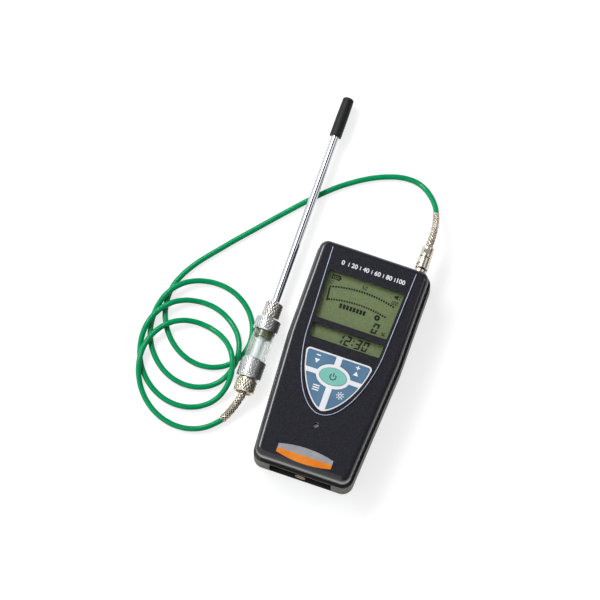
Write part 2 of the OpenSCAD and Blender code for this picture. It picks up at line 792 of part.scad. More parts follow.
module display_window() {
    color([0.85, 0.9, 0.9, 0.3])
        box(-sheet_half, sheet_half, sheet_low_y, sheet_high_y, sheet_z, ceiling_z);
}

module display_glass(low_y, high_y) {
    color([0.46, 0.54, 0.37])
        box(-glass_half, glass_half, low_y - glass_lap, high_y + glass_lap, glass_z, sheet_z);
}

module lcd_main() {
    display_glass(main_low_y, main_high_y);
}

module lcd_small() {
    display_glass(small_low_y, small_high_y);
}

module lcd_frame() {
    rib = 0.6;
    rib_y = (small_high_y + main_low_y) / 2;
    color([0.9, 0.9, 0.88]) {
        box(-sheet_half, sheet_half, sheet_low_y, sheet_high_y, frame_z, glass_z);
        box(-sheet_half, sheet_half, rib_y - rib / 2, rib_y + rib / 2, frame_z, sheet_z);
    }
}

module main_board() {
    color([0.05, 0.35, 0.2])
        box(-sheet_half, sheet_half, board_low_y, board_high_y, board_z, frame_z);
}

module key_mat() {
    edge = 3;
    color([0.75, 0.75, 0.72]) {
        plate_prism(-edge, frame_z, frame_z + mat_t);
        for (p = stem_places)
            translate([p[0], p[1], frame_z])
                cylinder(r = dome_r, h = mat_t + dome_h);
    }
}

module key_plate() {
    color([0.93, 0.94, 0.95])
        difference() {
            plate_prism(0, pocket_z, plate_z);
            for (side = [-1, 1], row = [-1, 1])
                key_space(side, row, key_gap, pocket_z - cut, plate_z + cut);
            power_prism(key_gap, pocket_z - cut, plate_z + cut);
        }
}

module key_upper_left() {
    outer_key(-1, 1);
}

module key_upper_right() {
    outer_key(1, 1);
}

module key_lower_left() {
    outer_key(-1, -1);
}

module key_lower_right() {
    outer_key(1, -1);
}

module key_power() {
    color([0.52, 0.8, 0.75]) {
        power_prism(0, key_low_z, key_top_z);
        key_stem([0, power_y]);
    }
}

module sounder() {
    lip = 0.6;
    color([0.78, 0.62, 0.3])
        translate([0, sound_y, frame_z]) {
            cylinder(r = sounder_r, h = sounder_h - lip);
            cylinder(r = sounder_r - 1, h = sounder_h);
        }
}

module label_upper() {
    color([0.62, 0.62, 0.62])
        prism(label_outline(1), face_z - label_t / 2, face_z + label_t / 2);
}

module label_lower() {
    color([0.93, 0.58, 0.1])
        prism(label_outline(-1), face_z - label_t / 2, face_z + label_t / 2);
}

// Battery compartment

module battery_tray() {
    web_half = lane_x - lane_w / 2 - web_wall;
    lane_end_y = tray_end_y - tray_wall;
    color([0.1, 0.1, 0.1])
        difference() {
            box(-tray_half, tray_half, tray_low_y, tray_end_y, wall, tray_top_z);
            for (x = [-lane_x, lane_x])
                box(x - lane_w / 2, x + lane_w / 2, tray_low_y - cut, lane_end_y, lane_z0, lane_z1);
            box(-lane_edge, lane_edge, tray_low_y - cut, web_y, lane_z0, lane_z1);
            rod_y(0, lane_mid_z, insert_r + fit_gap, web_y - cut, web_y + insert_l);
            box(-web_half, web_half, web_y + insert_l + web_wall, lane_end_y, wall - cut, lane_z1);
        }
}

module battery_cells() {
    color([0.2, 0.45, 0.3])
        for (x = [-lane_x, lane_x], i = [0, 1])
            translate([x, cell_start_y + i * cell_step, lane_mid_z])
                rotate([-90, 0, 0]) {
                    cylinder(r = cell_d / 2, h = cell_l - nub_l);
                    cylinder(r = nub_r, h = cell_l);
                }
}

module battery_contacts() {
    half = 4;
    back_y = tray_end_y - tray_wall;
    color([0.85, 0.7, 0.35])
        for (x = [-lane_x, lane_x])
            box(x - half, x + half, back_y - contact_t, back_y, lane_mid_z - half, lane_mid_z + half);
}

module battery_cover() {
    ledge = 1;
    rib_h = 0.8;
    color([0.04, 0.04, 0.04])
        difference() {
            union() {
                box(-lane_edge + free_gap, lane_edge - free_gap, cover_face_y, cover_back_y,
                    lane_z0 + free_gap, lane_z1 - free_gap);
                for (x = [-lane_x, lane_x])
                    box(x - lane_w / 4, x + lane_w / 4, cover_face_y - rib_h, cover_face_y,
                        lane_mid_z - ledge, lane_mid_z + ledge);
            }
            rod_y(0, lane_mid_z, knob_shank_r + knob_play, cover_face_y - cut, cover_back_y + cut);
        }
}

module cover_contacts() {
    half = 3.5;
    back_y = cover_back_y + contact_t;
    color([0.85, 0.7, 0.35])
        difference() {
            box(-lane_x - half, lane_x + half, cover_back_y, back_y, lane_mid_z - half, lane_mid_z + half);
            rod_y(0, lane_mid_z, knob_shank_r + free_gap, cover_back_y - cut, back_y + cut);
        }
}

module cover_screw() {
    slot_w = 1.2;
    slot_d = 1;
    seat_y = cover_face_y - free_gap;
    knob_y = seat_y - knob_l;
    color([0.8, 0.62, 0.28])
        difference() {
            union() {
                rod_y(0, lane_mid_z, knob_r, knob_y, seat_y);
                rod_y(0, lane_mid_z, knob_shank_r, knob_y, knob_tip_y);
            }
            box(-knob_r - cut, knob_r + cut, knob_y - cut, knob_y + slot_d,
                lane_mid_z - slot_w / 2, lane_mid_z + slot_w / 2);
        }
}

module cover_insert() {
    color([0.8, 0.62, 0.28])
        difference() {
            rod_y(0, lane_mid_z, insert_r, web_y, web_y + insert_l);
            rod_y(0, lane_mid_z, knob_shank_r + fit_gap, web_y - cut, web_y + insert_l + cut);
        }
}

// Pump, sensor and the tubes between them

module pump_base() {
    edge = 1.5;
    color([0.25, 0.25, 0.27])
        difference() {
            union() {
                box(pump_x - cradle_half, head_x + head_l, motor_y - edge, head_y + head_w / 2 + edge,
                    wall, head_z);
                for (y = [motor_y + edge, motor_end_y - cradle_l - edge])
                    box(pump_x - cradle_half, pump_x + cradle_half, y, y + cradle_l, wall, pump_z);
            }
            rod_y(pump_x, pump_z, motor_r + fit_gap, motor_y - 2 * edge, motor_end_y + edge);
        }
}

module pump_motor() {
    color([0.7, 0.7, 0.72])
        difference() {
            rod_y(pump_x, pump_z, motor_r, motor_y, motor_end_y);
            rod_y(pump_x, pump_z, shaft_r + fit_gap, motor_y + cradle_l, motor_end_y + cut);
        }
}

module pump_crank() {
    color([0.85, 0.85, 0.8]) {
        rod_y(pump_x, pump_z, shaft_r, motor_y + cradle_l + free_gap, cam_y + cam_l);
        rod_y(pump_x + cam_throw, pump_z, cam_r, cam_y, cam_y + cam_l);
    }
}

module pump_diaphragm() {
    color([0.12, 0.12, 0.12])
        rod_x(head_y, pump_z, diaphragm_r, head_x - diaphragm_t, head_x);
}

module pump_head() {
    port_y = head_y + head_w / 2;
    color([0.2, 0.2, 0.22]) {
        box(head_x, head_x + head_l, head_y - head_w / 2, port_y, head_z, head_z + head_h);
        for (z = [pump_in_z, pump_out_z])
            rod_y(pump_port_x, z, nipple_r, port_y, port_y + nipple_l);
    }
}

module sensor_block() {
    side_x = sensor_x + block_half;
    side_y = sensor_y + block_half;
    color([0.75, 0.75, 0.78]) {
        difference() {
            box(sensor_x - block_half, side_x, sensor_y - block_half, side_y, wall, wall + block_h);
            translate([sensor_x, sensor_y, sensor_z])
                cylinder(r = sensor_r + fit_gap, h = block_h);
        }
        rod_x(sensor_y, sensor_port_z, nipple_r, side_x, side_x + nipple_l);
        rod_y(sensor_x, sensor_port_z, nipple_r, side_y, side_y + nipple_l);
    }
}

module sensor_cell() {
    mesh_t = 0.8;
    color([0.8, 0.78, 0.7])
        translate([sensor_x, sensor_y, sensor_z]) {
            cylinder(r = sensor_r, h = sensor_h - mesh_t);
            cylinder(r = sensor_r - 1.5, h = sensor_h);
        }
}

module inner_tubes() {
    tube_sides = 8;
    color([0.85, 0.85, 0.8])
        for (route = [tube_to_sensor, tube_to_pump, tube_to_exhaust])
            swept_tube(route, inner_tube_d, inner_tube_d, tube_sides);
}

module exhaust_fitting() {
    flange_t = 1;
    flange_r = nipple_r + 1.2;
    bore_r = 0.9;
    color([0.75, 0.75, 0.77])
        difference() {
            union() {
                rod_y(exhaust_x, exhaust_z, nipple_r, exhaust_y, end_y);
                rod_y(exhaust_x, exhaust_z, flange_r, inner_end_y - flange_t, inner_end_y);
            }
            rod_y(exhaust_x, exhaust_z, bore_r, exhaust_y - cut, end_y + cut);
        }
}

// Coupling between the meter and the hose

// The socket's flange inside the case, with a flat where the case's corner is near
module socket_flange(y1) {
    flange_t = 3;
    flat_x = 2;
    intersection() {
        rod_y(coupling_x, coupling_z, coupling_r, y1 - flange_t, y1);
        box(coupling_x - coupling_r - cut, coupling_x + flat_x, y1 - flange_t - cut, y1 + cut,
            coupling_z - coupling_r - cut, coupling_z + coupling_r + cut);
    }
}

module inlet_socket() {
    front_inner_y = front_l / 2 - wall;
    flange_y = front_inner_y - free_gap;
    pin_half = coupling_r - pin_short;
    color([0.82, 0.82, 0.8])
        difference() {
            union() {
                rod_y(coupling_x, coupling_z, coupling_r, end_y, socket_face_y);
                rod_y(coupling_x, coupling_z, neck_r, flange_y - cut, end_y + cut);
                socket_flange(flange_y);
                rod_y(coupling_x, coupling_z, nipple_r, inlet_tail_y, front_inner_y);
                rod_y(coupling_x, coupling_z, nose_r, socket_face_y - cut, nose_end_y);
                rod_x(pin_y, coupling_z, pin_r, coupling_x - pin_half, coupling_x + pin_half);
            }
            rod_y(coupling_x, coupling_z, passage_r, inlet_tail_y - cut, nose_end_y + cut);
        }
}

module socket_seal() {
    seal_end_y = socket_face_y + seal_t;
    color([0.05, 0.05, 0.05])
        turned(coupling_x, coupling_z, [[nose_r + fit_gap, socket_face_y], [plug_r, socket_face_y],
            [plug_r, seal_end_y], [nose_r + fit_gap, seal_end_y]]);
}

// The slot of one bayonet pin: a turn around the axis, then straight out at the open end
module bayonet_slot() {
    play = 0.25;
    half = pin_r + play;
    half_angle = asin(half / nose_r);
    reach = coupling_r + cut;
    start_r = nose_r - 0.2;
    translate([coupling_x, 0, coupling_z])
        rotate([-90, 0, 0]) {
            rotate([0, 0, -half_angle])
                rotate_extrude(angle = bayonet_turn + 2 * half_angle)
                    polygon([[start_r, pin_y - half], [reach, pin_y - half],
                        [reach, pin_y + half], [start_r, pin_y + half]]);
            rotate([0, 0, bayonet_turn])
                translate([0, -half, collar_y - cut])
                    cube([reach, 2 * half, pin_y - collar_y + cut]);
        }
}

module coupling_collar() {
    rim = 0.5;
    color([0.8, 0.8, 0.78])
        difference() {
            turned(coupling_x, coupling_z, [[collar_bore_r, collar_y], [coupling_r - rim, collar_y],
                [coupling_r, collar_y + rim], [coupling_r, collar_end_y - rim],
                [coupling_r - rim, collar_end_y], [collar_bore_r, collar_end_y]]);
            bayonet_slot();
            translate([2 * coupling_x, 0, 2 * coupling_z])
                rotate([0, 180, 0])
                    bayonet_slot();
        }
}

module coupling_plug() {
    flat = plug_r - 0.6;
    flat_edge = 2;
    end_wall = 1;
    rim = 0.4;
    color([0.82, 0.82, 0.8])
        difference() {
            union() {
                rod_y(coupling_x, coupling_z, nose_r, nose_end_y + free_gap, plug_y + cut);
                turned(coupling_x, coupling_z, [[0, plug_y], [plug_r - rim, plug_y], [plug_r, plug_y + rim],
                    [plug_r, plug_end_y - rim], [plug_r - rim, plug_end_y], [0, plug_end_y]]);
            }
            rod_y(coupling_x, coupling_z, passage_r, nose_end_y, plug_end_y - end_wall);
            for (z = [flat, -flat - cut])
                box(coupling_x - coupling_r, coupling_x + coupling_r, plug_y + flat_edge,
                    plug_end_y - flat_edge, coupling_z + z, coupling_z + z + cut);
        }
}

// Hose and its braided guards

module hose_guard_meter() {
    color([0.6, 0.58, 0.54])
        swept_tube(guard_meter_route, guard_d, guard_tip_d, guard_sides);
}

module hose_run() {
    start = guard_meter_route[len(guard_meter_route) - 1];
    color([0.02, 0.58, 0.36])
        swept_tube(concat([start], run_route, [loop_lead_in]), hose_d, hose_d, run_sides);
}

module hose_loops() {
    echo(least_gap_of_hose_loops = loop_gap(loop_route(gap_rings)));
    color([0.02, 0.58, 0.36])
        swept_tube(loop_route(loop_rings), hose_d, hose_d, loop_sides);
}

module hose_guard_probe() {
    route = concat([loop_lead_out], guard_probe_route,
        [[probe_x, spigot_y - guard_d, probe_z], [probe_x, spigot_y, probe_z]]);
    color([0.6, 0.58, 0.54])
        swept_tube(route, guard_d, guard_d, guard_sides);
}

// Probe

// A knurled ring along +Y with chamfered ends and a bore
module knurled_ring(r, bore, y0, y1) {
    c = knurl_chamfer;
    turned(probe_x, probe_z, [[bore, y0], [r - c, y0], [r, y0 + c], [r, y1 - c], [r - c, y1], [bore, y1]]);
}

module hose_nut() {
    rear_wall = 3.4;
    guard_play = 0.4;
    recess_r = hose_nut_r - 1.8;
    recess_d = 2;
    color([0.85, 0.78, 0.62])
        difference() {
            knurled_ring(hose_nut_r, guard_d / 2 + guard_play, probe_y, probe_y + hose_nut_l);
            rod_y(probe_x, probe_z, spigot_r + fit_gap, probe_y + rear_wall, probe_y + hose_nut_l + cut);
            rod_y(probe_x, probe_z, recess_r, probe_y - cut, probe_y + recess_d);
        }
}

module filter_rear_cap() {
    color([0.82, 0.82, 0.83])
        difference() {
            union() {
                knurled_ring(cap_r, 0, rear_cap_y, rear_cap_end_y);
                rod_y(probe_x, probe_z, spigot_r, spigot_y, rear_cap_y + cut);
            }
            rod_y(probe_x, probe_z, barrel_r + fit_gap, barrel_y, rear_cap_end_y + cut);
            rod_y(probe_x, probe_z, passage_r, spigot_y - cut, barrel_y + cut);
        }
}

module filter_barrel() {
    color([0.85, 0.92, 0.9, 0.35])
        difference() {
            rod_y(probe_x, probe_z, barrel_r, barrel_y, barrel_end_y);
            rod_y(probe_x, probe_z, barrel_r - barrel_wall, barrel_y - cut, barrel_end_y + cut);
        }
}

module filter_tube() {
    color([0.93, 0.93, 0.9])
        difference() {
            rod_y(probe_x, probe_z, inner_r, barrel_y, filter_tube_end_y);
            rod_y(probe_x, probe_z, passage_r, barrel_y - cut, filter_tube_end_y + cut);
        }
}

// A ring between the filter's inner tube and its barrel
module filter_ring(y, l) {
    inner = inner_r + drop_gap;
    outer = barrel_r - barrel_wall - drop_gap;
    turned(probe_x, probe_z, [[inner, y], [outer, y], [outer, y + l], [inner, y + l]]);
}

module filter_felt() {
    color([0.9, 0.9, 0.86])
        filter_ring(barrel_y + cut, felt_l);
}

module filter_seal() {
    color([0.42, 0.44, 0.3])
        filter_ring(front_cap_y - seal_ring_l, seal_ring_l);
}

module filter_front_cap() {
    color([0.82, 0.82, 0.83])
        difference() {
            union() {
                knurled_ring(cap_r, 0, front_cap_y, front_cap_end_y);
                rod_y(probe_x, probe_z, spigot_r, front_cap_end_y - cut, spigot_end_y);
            }
            rod_y(probe_x, probe_z, barrel_r + fit_gap, front_cap_y - cut, front_socket_y);
            rod_y(probe_x, probe_z, tube_r + fit_gap, front_socket_y - cut, spigot_end_y + cut);
        }
}

module tube_nut() {
    color([0.84, 0.82, 0.78])
        difference() {
            knurled_ring(tube_nut_r, tube_r + 2 * fit_gap, tube_nut_y, tube_nut_end_y);
            rod_y(probe_x, probe_z, spigot_r + fit_gap, tube_nut_y - cut, spigot_end_y + free_gap);
        }
}

module probe_tube() {
    color([0.85, 0.85, 0.87])
        difference() {
            rod_y(probe_x, probe_z, tube_r, front_socket_y, tube_end_y + tip_grip);
            rod_y(probe_x, probe_z, tube_r - tube_wall, front_socket_y - cut, tube_end_y + tip_grip + cut);
        }
}

module probe_tip() {
    taper = 0.3;
    chamfer = 1;
    tip_end_y = tube_end_y + tip_l;
    mouth_r = 1.5;
    color([0.05, 0.05, 0.05])
        difference() {
            turned(probe_x, probe_z, [[0, tube_end_y], [tip_r, tube_end_y], [tip_r, tube_end_y + tip_l / 2],
                [tip_r - taper, tip_end_y - chamfer], [tip_r - taper - chamfer, tip_end_y], [0, tip_end_y]]);
            rod_y(probe_x, probe_z, tube_r + fit_gap, tube_end_y - cut, tube_end_y + tip_grip);
            rod_y(probe_x, probe_z, mouth_r, tube_end_y, tip_end_y + cut);
        }
}

front_case();
rear_case();
case_gasket();
case_screws();
display_window();
lcd_main();
lcd_small();
lcd_frame();
main_board();
key_mat();
key_plate();
key_upper_left();
key_upper_right();
key_lower_left();
key_lower_right();
key_power();
sounder();
label_upper();
label_lower();
battery_tray();
battery_cells();
battery_contacts();
battery_cover();
cover_contacts();
cover_screw();
cover_insert();
pump_base();
pump_motor();
pump_crank();
pump_diaphragm();
pump_head();
sensor_block();
sensor_cell();
inner_tubes();
exhaust_fitting();
inlet_socket();
socket_seal();
coupling_collar();
coupling_plug();
hose_guard_meter();
hose_run();
hose_loops();
hose_guard_probe();
hose_nut();
filter_rear_cap();
filter_barrel();
filter_tube();
filter_felt();
filter_seal();
filter_front_cap();
tube_nut();
probe_tube();
probe_tip();
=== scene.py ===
"""Looks of the hand-held gas detector, its sampling hose and its probe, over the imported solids."""
import math
from collections import namedtuple

import bpy
from mathutils import Matrix, Vector


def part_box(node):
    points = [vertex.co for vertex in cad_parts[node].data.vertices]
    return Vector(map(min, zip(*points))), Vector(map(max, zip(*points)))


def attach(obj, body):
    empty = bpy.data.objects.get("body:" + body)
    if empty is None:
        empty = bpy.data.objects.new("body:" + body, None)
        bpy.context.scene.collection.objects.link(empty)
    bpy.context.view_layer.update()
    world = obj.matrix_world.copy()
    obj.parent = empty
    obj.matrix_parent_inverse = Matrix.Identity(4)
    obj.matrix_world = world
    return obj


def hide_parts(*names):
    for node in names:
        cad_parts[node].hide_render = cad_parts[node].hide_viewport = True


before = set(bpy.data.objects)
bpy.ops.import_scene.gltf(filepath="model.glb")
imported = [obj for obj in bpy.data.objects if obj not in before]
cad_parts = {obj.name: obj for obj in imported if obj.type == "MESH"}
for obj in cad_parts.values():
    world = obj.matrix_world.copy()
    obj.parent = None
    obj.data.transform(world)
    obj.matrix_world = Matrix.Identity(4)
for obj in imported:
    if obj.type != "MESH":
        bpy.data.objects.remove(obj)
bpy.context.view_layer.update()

MM = 0.001

# Photo's view: the picture is turned on the floor and seen from high up with a long lens
IMAGE_PIXELS = 600
PIXELS_PER_MM = 1.4
VIEW_TURN = math.radians(19.2)
VIEW_RISE = math.radians(75)
VIEW_TARGET = Vector((-43.8, 42.1, 0)) * MM
LENS_MM = 500
SENSOR_MM = 36
IMAGE_RIGHT = Vector((math.cos(VIEW_TURN), math.sin(VIEW_TURN), 0))
IMAGE_UP = Vector((-math.sin(VIEW_TURN), math.cos(VIEW_TURN), 0))

# Places and sizes on the solids, in millimetres
PANEL_Z = 36.0
LCD_Z = 31.4
KEY_Z = 36.6
MAIN_LOW_Y = 25.6
SMALL_LOW_Y = 11.0
POWER_KEY_Y = -12.6
PANEL_TOP_Y = 78.0
PANEL_TOP_HALF = 31.3
PANEL_SIDE_Y = 14.6
PANEL_SIDE_HALF = 28.7
PANEL_TIP_Y = -41.4
HOSE_D = 4.0
GUARD_R = 2.9
PROBE_X = -59.0
PROBE_Z = 9.0

# The thin end of the meter's guard, a little wider than its solid, so that its wires clear the hose
GUARD_TIP_R = 2.45

# How pointed the panel's lower end is: 1 is half an ellipse
SHIELD_DROP = 1.25

# Factors on the place at which a noise is read: none, short streaks along Y, and long ones as on a
# drawn tube
EVEN = (1, 1, 1)
SHORT_STREAKS = (6, 1, 6)
LONG_STREAKS = (1, 0.05, 1)


def show(thing):
    """Puts a thing into the scene."""
    bpy.context.scene.collection.objects.link(thing)


# Camera

def make_camera():
    """A long lens at the photo's angle, so far off that the picture has the photo's scale."""
    width = IMAGE_PIXELS / PIXELS_PER_MM * MM
    distance = width * LENS_MM / SENSOR_MM
    toward = -IMAGE_UP * math.cos(VIEW_RISE) + Vector((0, 0, math.sin(VIEW_RISE)))
    data = bpy.data.cameras.new("camera")
    data.lens = LENS_MM
    data.sensor_width = SENSOR_MM
    data.clip_end = 20
    camera = bpy.data.objects.new("camera", data)
    camera.location = VIEW_TARGET + toward * distance
    camera.rotation_euler = (-toward).to_track_quat("-Z", "Y").to_euler()
    show(camera)
    bpy.context.scene.camera = camera


# Materials

# The part of a noise that holds most of its values, for numbers and for colours
NOISE_LOW = 0.3
NOISE_HIGH = 0.7
RAMP_LOW = 0.32
RAMP_HIGH = 0.68
# Cosines of the turn at which an edge begins to count and counts in full
EDGE_BEGIN = 0.99
EDGE_FULL = 0.8
WEAR_WIDTH_MM = 0.25
WEAR_SPOT_MM = 2.2
WEAR_MOST = 0.8


def linear(value):
    """One channel of a colour on the screen, from 0 to 255, as the shaders count it."""
    share = value / 255
    if share <= 0.04045:
        return share / 12.92
    return ((share + 0.055) / 1.055) ** 2.4


def rgb(red, green, blue):
    return (linear(red), linear(green), linear(blue), 1.0)


def add_node(tree, kind, **inputs):
    made = tree.nodes.new(kind)
    for name, value in inputs.items():
        made.inputs[name].default_value = value
    return made


def place_of(tree, stretch):
    """Place on the piece in metres, times a factor along each axis."""
    place = tree.nodes.new("ShaderNodeTexCoord").outputs["Object"]
    if stretch == EVEN:
        return place
    mapping = add_node(tree, "ShaderNodeMapping", Scale=stretch)
    tree.links.new(place, mapping.inputs["Vector"])
    return mapping.outputs["Vector"]


def noise(tree, place, size_mm, detail=2.0):
    """Noise with spots of about the given size."""
    made = add_node(tree, "ShaderNodeTexNoise", Scale=1 / (size_mm * MM), Detail=detail)
    tree.links.new(place, made.inputs["Vector"])
    return made.outputs["Fac"]


def spread(tree, value, low, high):
    """The middle part of a noise as numbers from low to high."""
    ranged = tree.nodes.new("ShaderNodeMapRange")
    ranged.inputs["From Min"].default_value = NOISE_LOW
    ranged.inputs["From Max"].default_value = NOISE_HIGH
    ranged.inputs["To Min"].default_value = low
    ranged.inputs["To Max"].default_value = high
    tree.links.new(value, ranged.inputs["Value"])
    return ranged.outputs["Result"]


def colours(tree, value, dark, light):
    """The middle part of a noise as colours from dark to light."""
    ramp = tree.nodes.new("ShaderNodeValToRGB")
    ramp.color_ramp.elements[0].position = RAMP_LOW
    ramp.color_ramp.elements[0].color = dark
    ramp.color_ramp.elements[1].position = RAMP_HIGH
    ramp.color_ramp.elements[1].color = light
    tree.links.new(value, ramp.inputs["Fac"])
    return ramp.outputs["Color"]


def bump(tree, height, depth_mm):
    made = add_node(tree, "ShaderNodeBump", Strength=1.0, Distance=depth_mm * MM)
    tree.links.new(height, made.inputs["Height"])
    return made.outputs["Normal"]


def combine(tree, operation, first, second):
    made = tree.nodes.new("ShaderNodeMath")
    made.operation = operation
    tree.links.new(first, made.inputs[0])
    tree.links.new(second, made.inputs[1])
    return made.outputs[0]


def edge_share(tree, width_mm):
    """0 on a piece's faces, rising along its edges, from how far a rounded edge would turn the face."""
    rounded = add_node(tree, "ShaderNodeBevel", Radius=width_mm * MM)
    rounded.samples = 4
    plain = tree.nodes.new("ShaderNodeNewGeometry")
    turn = tree.nodes.new("ShaderNodeVectorMath")
    turn.operation = "DOT_PRODUCT"
    tree.links.new(rounded.outputs["Normal"], turn.inputs[0])
    tree.links.new(plain.outputs["Normal"], turn.inputs[1])
    ranged = tree.nodes.new("ShaderNodeMapRange")
    ranged.inputs["From Min"].default_value = EDGE_BEGIN
    ranged.inputs["From Max"].default_value = EDGE_FULL
    tree.links.new(turn.outputs["Value"], ranged.inputs["Value"])
    return ranged.outputs["Result"]


def worn_colour(tree, colour, wear, place):
    """The colour with its edges rubbed lighter in a broken line."""
    spots = spread(tree, noise(tree, place, WEAR_SPOT_MM, detail=3.0), 0.0, WEAR_MOST)
    share = combine(tree, "MULTIPLY", edge_share(tree, WEAR_WIDTH_MM), spots)
    mix = tree.nodes.new("ShaderNodeMix")
    mix.data_type = "RGBA"
    mix.inputs["B"].default_value = wear
    tree.links.new(share, mix.inputs["Factor"])
    tree.links.new(colour, mix.inputs["A"])
    return mix.outputs["Result"]


def surface(name, dark, light, rough, patch_mm, grain_mm, relief_mm, stretch=EVEN, wear=None, **sockets):
    """A material of two close colours in patches, with a fine grain that also dents the surface."""
    material = bpy.data.materials.new(name)
    material.use_nodes = True
    tree = material.node_tree
    shader = tree.nodes["Principled BSDF"]
    place = place_of(tree, stretch)
    patches = noise(tree, place, patch_mm, detail=3.0)
    grain = noise(tree, place, grain_mm)
    colour = colours(tree, patches, dark, light)
    if wear:
        colour = worn_colour(tree, colour, wear, place)
    tree.links.new(colour, shader.inputs["Base Color"])
    tree.links.new(spread(tree, patches, rough[0], rough[1]), shader.inputs["Roughness"])
    tree.links.new(bump(tree, grain, relief_mm), shader.inputs["Normal"])
    for socket, value in sockets.items():
        shader.inputs[socket.replace("_", " ")].default_value = value
    return material


def plastic(name, dark, light, rough, grain_mm=0.35, relief_mm=0.012, patch_mm=9, **sockets):
    return surface(name, dark, light, rough, patch_mm, grain_mm, relief_mm, **sockets)


def rubber(name, dark, light, rough=(0.5, 0.62)):
    return surface(name, dark, light, rough, patch_mm=4, grain_mm=0.25, relief_mm=0.015,
                   Specular_IOR_Level=0.35)


def metal(name, dark, light, rough, stretch=EVEN, relief_mm=0.001):
    return surface(name, dark, light, rough, patch_mm=3, grain_mm=0.3, relief_mm=relief_mm,
                   stretch=stretch, Metallic=1.0)


def clear(name, colour, alpha):
    return surface(name, colour, colour, (0.02, 0.06), patch_mm=6, grain_mm=1.5, relief_mm=0.0005,
                   Alpha=alpha, Transmission_Weight=1.0, IOR=1.45)


make_camera()

FRONT = plastic("front_plastic", rgb(15, 15, 20), rgb(41, 41, 50), (0.36, 0.44), patch_mm=0.7,
                wear=rgb(58, 58, 68), Specular_IOR_Level=0.12,
                Coat_Weight=0.7, Coat_Roughness=0.07, Coat_IOR=1.6)
REAR = plastic("rear_plastic", rgb(46, 47, 42), rgb(54, 55, 49), (0.42, 0.52), wear=rgb(92, 93, 84),
               Specular_IOR_Level=0.35)
BLACK = plastic("black_plastic", rgb(14, 14, 15), rgb(20, 20, 21), (0.4, 0.5), wear=rgb(52, 52, 54),
                Specular_IOR_Level=0.35)
# Pale bead colour: a painted highlight along the panel's edge
PANEL_EDGE_PAINTED_HIGHLIGHT = plastic("panel_edge_painted_highlight", rgb(176, 186, 214), rgb(204, 212, 234), (0.22, 0.3))
WHITE = plastic("white_plastic", rgb(226, 227, 233), rgb(236, 237, 241), (0.4, 0.5))
BLUE = plastic("key_blue", rgb(70, 110, 140), rgb(80, 120, 150), (0.42, 0.52), wear=rgb(104, 140, 166))
MINT = plastic("key_mint", rgb(115, 185, 173), rgb(125, 194, 182), (0.42, 0.52), wear=rgb(164, 222, 210))
PRINT = plastic("white_print", rgb(228, 230, 234), rgb(240, 241, 244), (0.5, 0.6))
INK = plastic("display_ink", rgb(3, 4, 2), rgb(8, 10, 6), (0.5, 0.6), Specular_IOR_Level=0.2)
DARK_PRINT = plastic("dark_print", rgb(24, 40, 46), rgb(34, 52, 58), (0.5, 0.6))
DISPLAY = plastic("display_glass", rgb(94, 109, 68), rgb(112, 126, 82), (0.3, 0.4),
                  grain_mm=0.45, relief_mm=0.006, patch_mm=1.3)
BOARD = plastic("board", rgb(10, 74, 44), rgb(16, 92, 56), (0.35, 0.45))
PUMP = plastic("pump_plastic", rgb(58, 58, 62), rgb(70, 70, 74), (0.45, 0.55))
CELL = plastic("cell_sleeve", rgb(36, 100, 66), rgb(48, 118, 80), (0.2, 0.3))
LABEL_GREY = plastic("label_grey", rgb(150, 151, 154), rgb(160, 161, 164), (0.22, 0.32),
                     grain_mm=0.3, relief_mm=0.004)
LABEL_ORANGE = plastic("label_orange", rgb(226, 124, 22), rgb(234, 136, 32), (0.22, 0.32),
                       grain_mm=0.3, relief_mm=0.004)
BLACK_RUBBER = rubber("black_rubber", rgb(12, 12, 13), rgb(20, 20, 21))
GREY_RUBBER = rubber("grey_rubber", rgb(178, 178, 172), rgb(196, 196, 190))
OLIVE_RUBBER = rubber("olive_rubber", rgb(84, 90, 58), rgb(106, 112, 76))
TUBING = rubber("pale_tubing", rgb(206, 206, 196), rgb(220, 220, 212), (0.3, 0.4))
HOSE = surface("hose_green", rgb(0, 141, 86), rgb(0, 152, 94), (0.1, 0.16),
               patch_mm=7, grain_mm=0.6, relief_mm=0.003, Specular_IOR_Level=0.18)
FELT = surface("felt", rgb(214, 214, 204), rgb(236, 236, 228), (0.85, 0.95),
               patch_mm=1.2, grain_mm=0.12, relief_mm=0.12)
STEEL = metal("steel", rgb(140, 140, 144), rgb(168, 168, 172), (0.25, 0.38), relief_mm=0.004)
ALUMINIUM = metal("aluminium", rgb(168, 168, 174), rgb(190, 190, 196), (0.3, 0.42), relief_mm=0.004)
TUBE_CHROME = metal("tube_chrome", rgb(196, 198, 206), rgb(212, 214, 220), (0.06, 0.1),
                    stretch=LONG_STREAKS, relief_mm=0.0003)
SILVER = metal("silver", rgb(226, 222, 214), rgb(242, 240, 234), (0.16, 0.26))
# Dark brownish metal for the knurls' grooves: partly grime, partly painted shade in the grooves
GROOVE = metal("groove", rgb(58, 49, 38), rgb(84, 72, 57), (0.4, 0.55))
BRASS = metal("brass", rgb(176, 138, 62), rgb(206, 166, 88), (0.18, 0.3), relief_mm=0.004)
